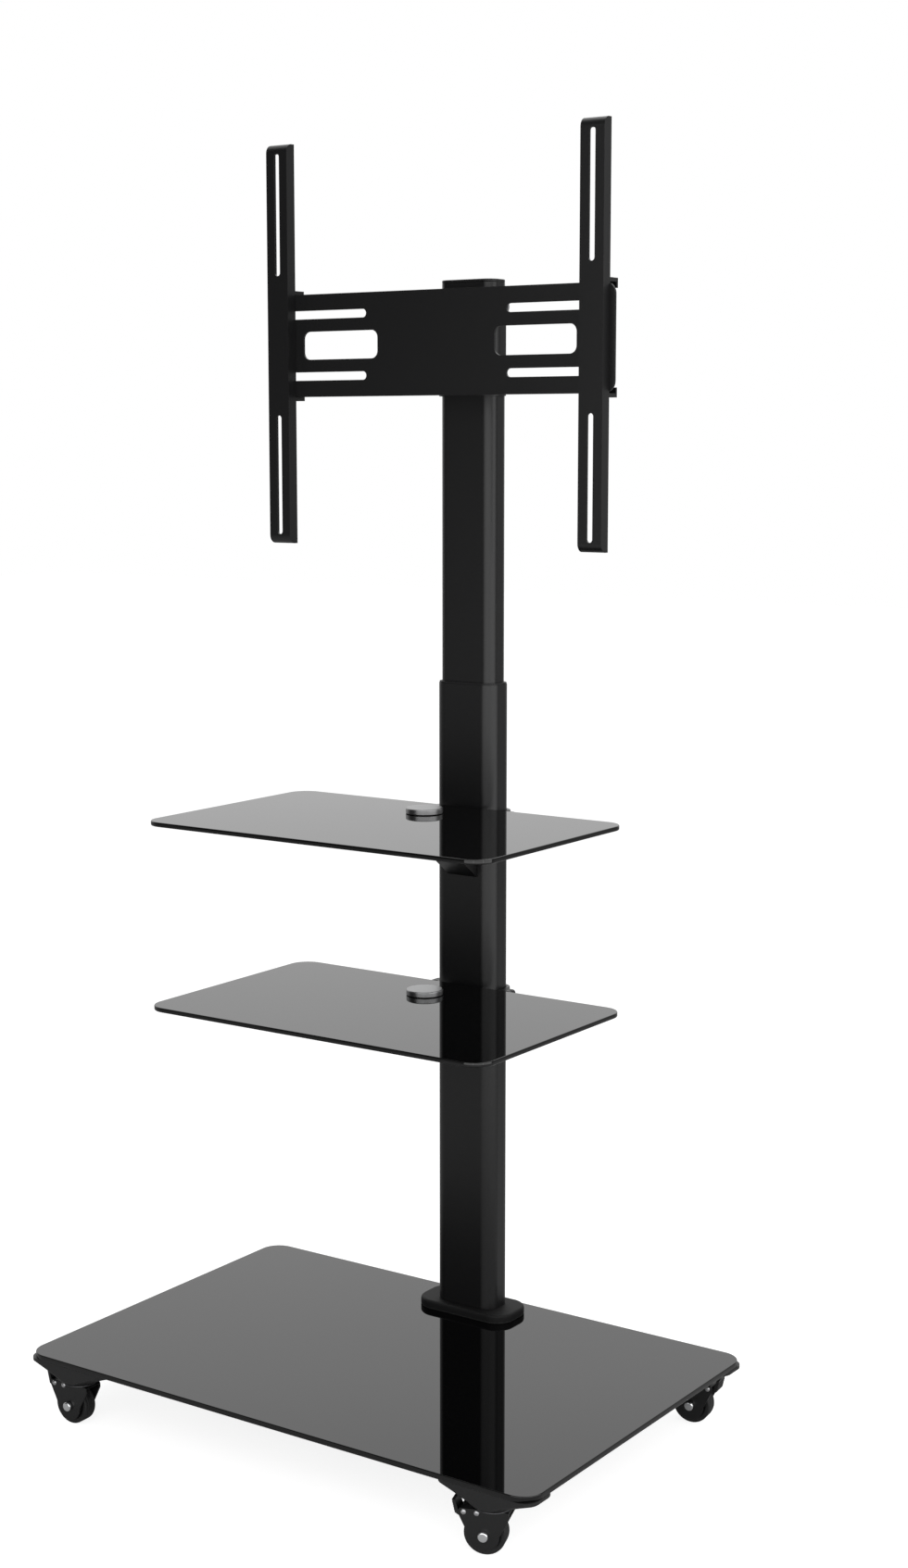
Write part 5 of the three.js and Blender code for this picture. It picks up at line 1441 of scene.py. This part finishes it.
def shelf_fasteners(shelf, top):
    carrier = f"{shelf}_arm"
    ear_x = TUBE_SIZE[0] / 2 + EAR_REACH - EAR_HOLE_INSET
    face = COLLAR_SPLIT / 2 + EAR_THICKNESS
    height = top + COLLAR_TOP - COLLAR_HEIGHT / 2
    for name, tree, way, sizes in (
        ("screws", SCREWS, 1, COLLAR_SCREW), ("nuts", NUTS, -1, COLLAR_NUT),
    ):
        seats = [((side * ear_x, MAST_Y + way * face, height), (0, way, 0)) for side in SIDES]
        fasteners(f"{shelf}_collar_{name}", tree, carrier, seats, **sizes)
    under = (0, MAST_Y - SHELF_BOLT_REACH, top + ARM_PLATE_UNDERSIDE)
    fasteners(f"{shelf}_disc_nut", NUTS, carrier, [(under, (0, 0, -1))], **DISC_NUT)


def shelves():
    for shelf in SHELVES:
        top = corners(f"{shelf}_glass")[1].z
        shelf_arm(shelf, shift(0, MAST_Y, top))
        shelf_disc(shelf, top)
        shelf_fasteners(shelf, top)


# Head, drawn about the mast's axis with zero at the middle of the screen plate

PIN_DISTANCE = INNER_DEPTH / 2 + FIT_GAP + SADDLE_WALL + PIN_REACH
YOKE_BACK = PIN_DISTANCE + YOKE_REACH
TILT_DISTANCE = YOKE_BACK + YOKE_THICKNESS + TILT_REACH
PLATE_BACK = TILT_DISTANCE + SCREEN_PLATE_REACH
PLATE_FRONT = PLATE_BACK + SHEET_THICKNESS
ARM_FRONT = PLATE_FRONT + SCREEN_ARM_DEPTH
EAR_INNER = YOKE_SIZE[0] / 2 + SCREEN_EAR_GAP
EAR_OUTER = EAR_INNER + SCREEN_EAR_THICKNESS
AT_PIN = HEAD @ shift(0, -PIN_DISTANCE)


def head_saddle():
    inset = TUBE_STEP - FIT_GAP
    half = SADDLE_HEIGHT / 2
    wrap = slab(tube_outline(SADDLE_WALL - inset), -half, half, 0, [tube_outline(-inset)])
    saddle = made("head_saddle_formed", wrap, HEAD)
    behind = block(INNER_WIDTH * 2, INNER_DEPTH * 2, SADDLE_HEIGHT * 2)
    carved(saddle, made("behind", behind, HEAD @ shift(0, SADDLE_BEHIND_MIDDLE + INNER_DEPTH)))
    root = -INNER_DEPTH / 2 - FIT_GAP - SADDLE_WALL / 2
    lug = tongue_outline(PIN_DISTANCE, LUG_RADIUS, root)
    lugs = []
    for bottom in (LUG_SPREAD / 2, -LUG_SPREAD / 2 - LUG_THICKNESS):
        lugs.append(made("lug", slab(lug, bottom, bottom + LUG_THICKNESS), HEAD))
    cuts = [bore(PIN_RADIUS, SADDLE_HEIGHT, AT_PIN)]
    cuts += [bore(TILT_BOLT_RADIUS, INNER_WIDTH * 2, saddle_bolt_place(end)) for end in SIDES]
    carved(welded(saddle, *lugs), *cuts)
    fitted(eased(saddle, SHEET_EDGE), satin_black)


def through_bolt(solid, radius, grip, place, head_radius, head_height):
    """A bolt about the middle of its grip, with a head at each end and a socket in each."""
    form = headed_pin(radius, grip / 2, head_radius, head_height, BOLT_HEAD_SOFTNESS)
    piece = made(f"{solid}_turned", form, place)
    reach = grip / 2 + head_height + BOLT_SOCKET_RISE
    for end in SIDES:
        socket = rod(head_radius / 2, head_height, HEXAGON)
        carved(piece, made("socket", socket, place @ shift(0, 0, end * reach)))
    fitted(shaded(piece), zinc)


def tilt_ear(root, thickness, start):
    """An upright ear round the tilt axis, rooted at a distance before or behind it."""
    half = YOKE_SIZE[1] / 2
    turn = QUARTER
    if root > TILT_DISTANCE:
        half = -half
        turn = -QUARTER
    outline = arc(-TILT_DISTANCE, 0, TILT_EAR_RADIUS, turn, turn + math.pi, FINE_STEPS)
    outline += [(-root, -half), (-root, half)]
    return made("ear", slab(outline, start, start + thickness), HEAD @ ACROSS)


def tilt_bore():
    place = HEAD @ shift(0, -TILT_DISTANCE) @ ACROSS
    return bore(TILT_BOLT_RADIUS, (EAR_OUTER + OVERRUN) * 2, place)


def swivel_knuckle():
    length = LUG_SPREAD - FIT_GAP * 2
    knuckle = made("swivel_knuckle_cast", rod(BARREL_RADIUS, length, ROUND_STEPS), AT_PIN)
    neck_length = YOKE_BACK - PIN_DISTANCE + YOKE_THICKNESS / 2
    neck = block(NECK_SIZE[0], neck_length, NECK_SIZE[1])
    yoke = slab(rounded_rectangle(*YOKE_SIZE, YOKE_RADIUS), 0, YOKE_THICKNESS)
    parts = [
        made("neck", neck, HEAD @ shift(0, -PIN_DISTANCE - neck_length / 2)),
        made("yoke", yoke, HEAD @ shift(0, -YOKE_BACK) @ FORWARD),
    ]
    root = YOKE_BACK + YOKE_THICKNESS / 2
    outer = YOKE_SIZE[0] / 2
    for start in (outer - YOKE_THICKNESS, -outer):
        parts.append(tilt_ear(root, YOKE_THICKNESS, start))
    carved(welded(knuckle, *parts), bore(PIN_RADIUS, length * 2, AT_PIN), tilt_bore())
    fitted(eased(knuckle, KNUCKLE_EDGE), satin_black)


def tilt_bolt():
    low, high = corners("tilt_bolt")
    half = (high.x - low.x) / 2
    head_radius = (high.z - low.z) / 2
    inner = TILT_BOLT_HEAD_HEIGHT - half
    profile = [
        (0, -half), (head_radius, -half), (head_radius, inner),
        (TILT_BOLT_RADIUS, inner), (TILT_BOLT_RADIUS, half), (0, half),
    ]
    place = shift(*middle_of("tilt_bolt")) @ ACROSS
    fitted(shaded(made("tilt_bolt_turned", turned(profile, TILT_BOLT_SOFTNESS), place)), zinc)


def tilt_knob():
    low, high = corners("tilt_knob")
    place = shift(low.x, (low.y + high.y) / 2, HEAD_HEIGHT) @ ACROSS
    piece = knob("tilt_knob_moulded", TILT_KNOB_RADIUS, high.x - low.x, place)
    carved(piece, bore(TILT_BOLT_RADIUS, (TILT_KNOB_BORE_DEPTH + FIT_GAP) * 2, place))
    fitted(shaded(piece), moulded_black)


def screen_plate():
    flat = HEAD @ shift(0, -PLATE_BACK) @ FORWARD
    window = rounded_rectangle(*PLATE_WINDOW, PLATE_WINDOW_RADIUS)
    slot = rounded_rectangle(*PLATE_SLOT, PLATE_SLOT[1] / 2)
    cuts = []
    for side in SIDES:
        cuts.append(moved_loop(window, side * PLATE_WINDOW_PLACE, 0))
        for end in SIDES:
            cuts.append(moved_loop(slot, side * PLATE_SLOT_PLACE[0], end * PLATE_SLOT_PLACE[1]))
    outline = rounded_rectangle(*SCREEN_PLATE_SIZE, SCREEN_PLATE_RADIUS)
    plate = made("screen_plate_pressed", slab(outline, 0, SHEET_THICKNESS, 0, cuts), flat)
    depth = FLANGE_DEPTH + SHEET_THICKNESS / 2
    y = -PLATE_BACK + FLANGE_DEPTH - depth / 2
    parts = []
    for end in SIDES:
        z = end * (SCREEN_PLATE_SIZE[1] - SHEET_THICKNESS) / 2
        flange = block(FLANGE_LENGTH, depth, SHEET_THICKNESS)
        parts.append(made("flange", flange, HEAD @ shift(0, y, z)))
    root = PLATE_BACK + SHEET_THICKNESS / 2
    for start in (EAR_INNER, -EAR_OUTER):
        parts.append(tilt_ear(root, SCREEN_EAR_THICKNESS, start))
    carved(welded(plate, *parts), tilt_bore())
    fitted(eased(plate, SHEET_EDGE), satin_black)


def arm_hooks(place):
    """A bar over and under the screen plate's flanges, each with a lip behind it."""
    back = PLATE_BACK - FLANGE_DEPTH - FIT_GAP - HOOK_LIP_THICKNESS
    front = PLATE_FRONT + HOOK_ROOT
    seat = SCREEN_PLATE_SIZE[1] / 2 + FIT_GAP
    lip_height = HOOK_THICKNESS + HOOK_LIP_DEPTH
    hooks = []
    for end in SIDES:
        hook = block(SCREEN_ARM_WIDTH, front - back, HOOK_THICKNESS)
        hook_place = place @ shift(0, -(front + back) / 2, end * (seat + HOOK_THICKNESS / 2))
        lip = block(SCREEN_ARM_WIDTH, HOOK_LIP_THICKNESS, lip_height)
        z = end * (seat + HOOK_THICKNESS - lip_height / 2)
        lip_place = place @ shift(0, -back - HOOK_LIP_THICKNESS / 2, z)
        hooks += [made("hook", hook, hook_place), made("lip", lip, lip_place)]
    return hooks


def screen_arm(solid):
    """A channel open to the back, with a slot in each half, two hooks and a lock screw."""
    low, high = corners(solid)
    place = HEAD @ shift((low.x + high.x) / 2)
    half = (high.z - low.z) / 2
    nose = half - SCREEN_ARM_NOSE
    centre = SCREEN_ARM_NOSE - ARM_FRONT
    outline = arc(centre, nose, SCREEN_ARM_NOSE, QUARTER, math.pi)
    outline += arc(centre, -nose, SCREEN_ARM_NOSE, math.pi, QUARTER * 3)
    outline += [(-PLATE_FRONT, -half), (-PLATE_FRONT, half)]
    side = SCREEN_ARM_WIDTH / 2
    arm = made(f"{solid}_pressed", slab(outline, -side, side), place @ ACROSS)
    hollow = block(SCREEN_ARM_WIDTH - SHEET_THICKNESS * 2, SCREEN_ARM_DEPTH * 2, nose * 2)
    inside = SHEET_THICKNESS - ARM_FRONT
    cuts = [made("hollow", hollow, place @ shift(0, inside + SCREEN_ARM_DEPTH))]
    upright = rounded_rectangle(ARM_SLOT[1], ARM_SLOT[0], ARM_SLOT[1] / 2)
    for end in SIDES:
        slot_place = place @ shift(0, inside + OVERRUN, end * ARM_SLOT_PLACE) @ FORWARD
        cuts.append(made("slot", slab(upright, 0, SHEET_THICKNESS + OVERRUN * 2), slot_place))
    carved(arm, *cuts)
    welded(arm, *arm_hooks(place))
    fitted(eased(arm, SHEET_EDGE), satin_black)
    below = SCREEN_PLATE_SIZE[1] / 2 + FIT_GAP + HOOK_THICKNESS
    seat = place @ Vector((0, FLANGE_DEPTH / 2 - PLATE_BACK, -below))
    fasteners(f"{solid}_lock_screw", SCREWS, solid, [(seat, (0, 0, -1))], **LOCK_SCREW)


def head():
    head_saddle()
    swivel_knuckle()
    tilt_bolt()
    tilt_knob()
    screen_plate()
    for side_name in ("left", "right"):
        screen_arm(f"screen_arm_{side_name}")
    grip = INNER_WIDTH + (FIT_GAP + SADDLE_WALL) * 2
    for name, end in (("upper", 1), ("lower", -1)):
        place = saddle_bolt_place(end)
        through_bolt(f"saddle_bolt_{name}", TILT_BOLT_RADIUS, grip, place, **SADDLE_BOLT_HEAD)
    grip = LUG_SPREAD + LUG_THICKNESS * 2
    through_bolt("swivel_pin", PIN_RADIUS, grip, AT_PIN, **SWIVEL_PIN_HEAD)


# Camera, light and floor

def camera():
    lens = bpy.data.cameras.new("camera")
    lens.lens = LENS_LENGTH
    lens.sensor_width = SENSOR_WIDTH
    lens.clip_end = VIEW_DEPTH
    eye = object_of("camera", lens)
    eye.location = CAMERA_PLACE
    eye.rotation_euler = (QUARTER - math.radians(CAMERA_DIP), 0, math.radians(CAMERA_TURN))
    bpy.context.scene.camera = eye


def softbox(name, azimuth, distance, height, aim, size, power):
    """A rectangular lamp round the stand; azimuth runs from the front towards +X."""
    lamp = bpy.data.lights.new(name, "AREA")
    lamp.shape = "RECTANGLE"
    lamp.size, lamp.size_y = size
    lamp.energy = power
    holder = object_of(name, lamp)
    turn = math.radians(azimuth)
    holder.location = (distance * math.sin(turn), -distance * math.cos(turn), height)
    away = holder.location - Vector((0, 0, aim))
    holder.rotation_euler = away.to_track_quat("Z", "Y").to_euler()
    holder.visible_camera = False


def rays(tree):
    """What a ray is, and whether it comes from the eye, straight or through glass."""
    path = node(tree, "ShaderNodeLightPath").outputs
    return path, calculated(tree, "MAXIMUM", path["Is Camera Ray"], path["Is Transmission Ray"])


def between(tree, share, low, high):
    """A value between two; a number mix has them in sockets 2 and 3."""
    return result(tree, "ShaderNodeMix", {0: share, 2: low, 3: high})


def studio_world():
    """White all round for the eye; reflections see a darker room on the side of the camera."""
    world = bpy.data.worlds.new("studio")
    bpy.context.scene.world = world
    tree = emptied(world)
    path, seen = rays(tree)
    direction = node(tree, "ShaderNodeTexCoord").outputs["Generated"]
    way = node(tree, "ShaderNodeSeparateXYZ", {0: direction}).outputs
    behind = ranged(tree, way["Y"], *ROOM_TO_THE_BACK, interpolation_type="SMOOTHSTEP")
    right = ranged(tree, way["X"], *ROOM_TO_THE_RIGHT, interpolation_type="SMOOTHSTEP")
    height = ranged(tree, way["Z"], *ROOM_UPWARDS)
    room = calculated(tree, "MULTIPLY", behind, right, height)
    glossy = between(tree, path["Is Glossy Ray"], SOFT_LIGHT, room)
    strength = between(tree, seen, glossy, 1.0)
    light = result(tree, "ShaderNodeBackground", {"Color": (1, 1, 1, 1), "Strength": strength})
    node(tree, "ShaderNodeOutputWorld", {"Surface": light})


def pale_floor():
    """Near white for the eye, darker in reflections, and shaded under the stand."""
    mesh = bpy.data.meshes.new("floor")
    turns = ((-1, -1), (1, -1), (1, 1), (-1, 1))
    mesh.from_pydata([(x * FLOOR_HALF, y * FLOOR_HALF, 0) for x, y in turns], [], [(0, 1, 2, 3)])
    material = bpy.data.materials.new("pale_floor")
    tree = emptied(material)
    path, seen = rays(tree)
    mirrored = calculated(tree, "MULTIPLY", path["Is Glossy Ray"], FLOOR_MIRRORED_GLOW)
    glow = calculated(tree, "MAXIMUM", calculated(tree, "MULTIPLY", seen, FLOOR_GLOW), mirrored)
    matt = result(tree, "ShaderNodeBsdfDiffuse", {"Color": (FLOOR_GREY, FLOOR_GREY, FLOOR_GREY, 1)})
    shine = result(tree, "ShaderNodeEmission", {"Color": (1, 1, 1, 1), "Strength": glow})
    both = result(tree, "ShaderNodeAddShader", {0: matt, 1: shine})
    node(tree, "ShaderNodeOutputMaterial", {"Surface": both})
    mesh.materials.append(material)
    object_of("floor", mesh)


camera()
studio_world()
pale_floor()
for number, key_turn in enumerate(KEY_LAMP_TURNS):
    softbox(f"key_light_{number}", key_turn, **KEY_LAMP)
softbox("top_light", **TOP_LAMP)
bpy.context.scene.view_settings.view_transform = "Standard"

all_glass()
for caster_name, caster_turn in CASTER_TURNS.items():
    caster(caster_name, caster_turn)
foot()
lower_tube()
upper_tube()
guide_bush()
mast_plugs()
mast_knob()
shelves()
head()

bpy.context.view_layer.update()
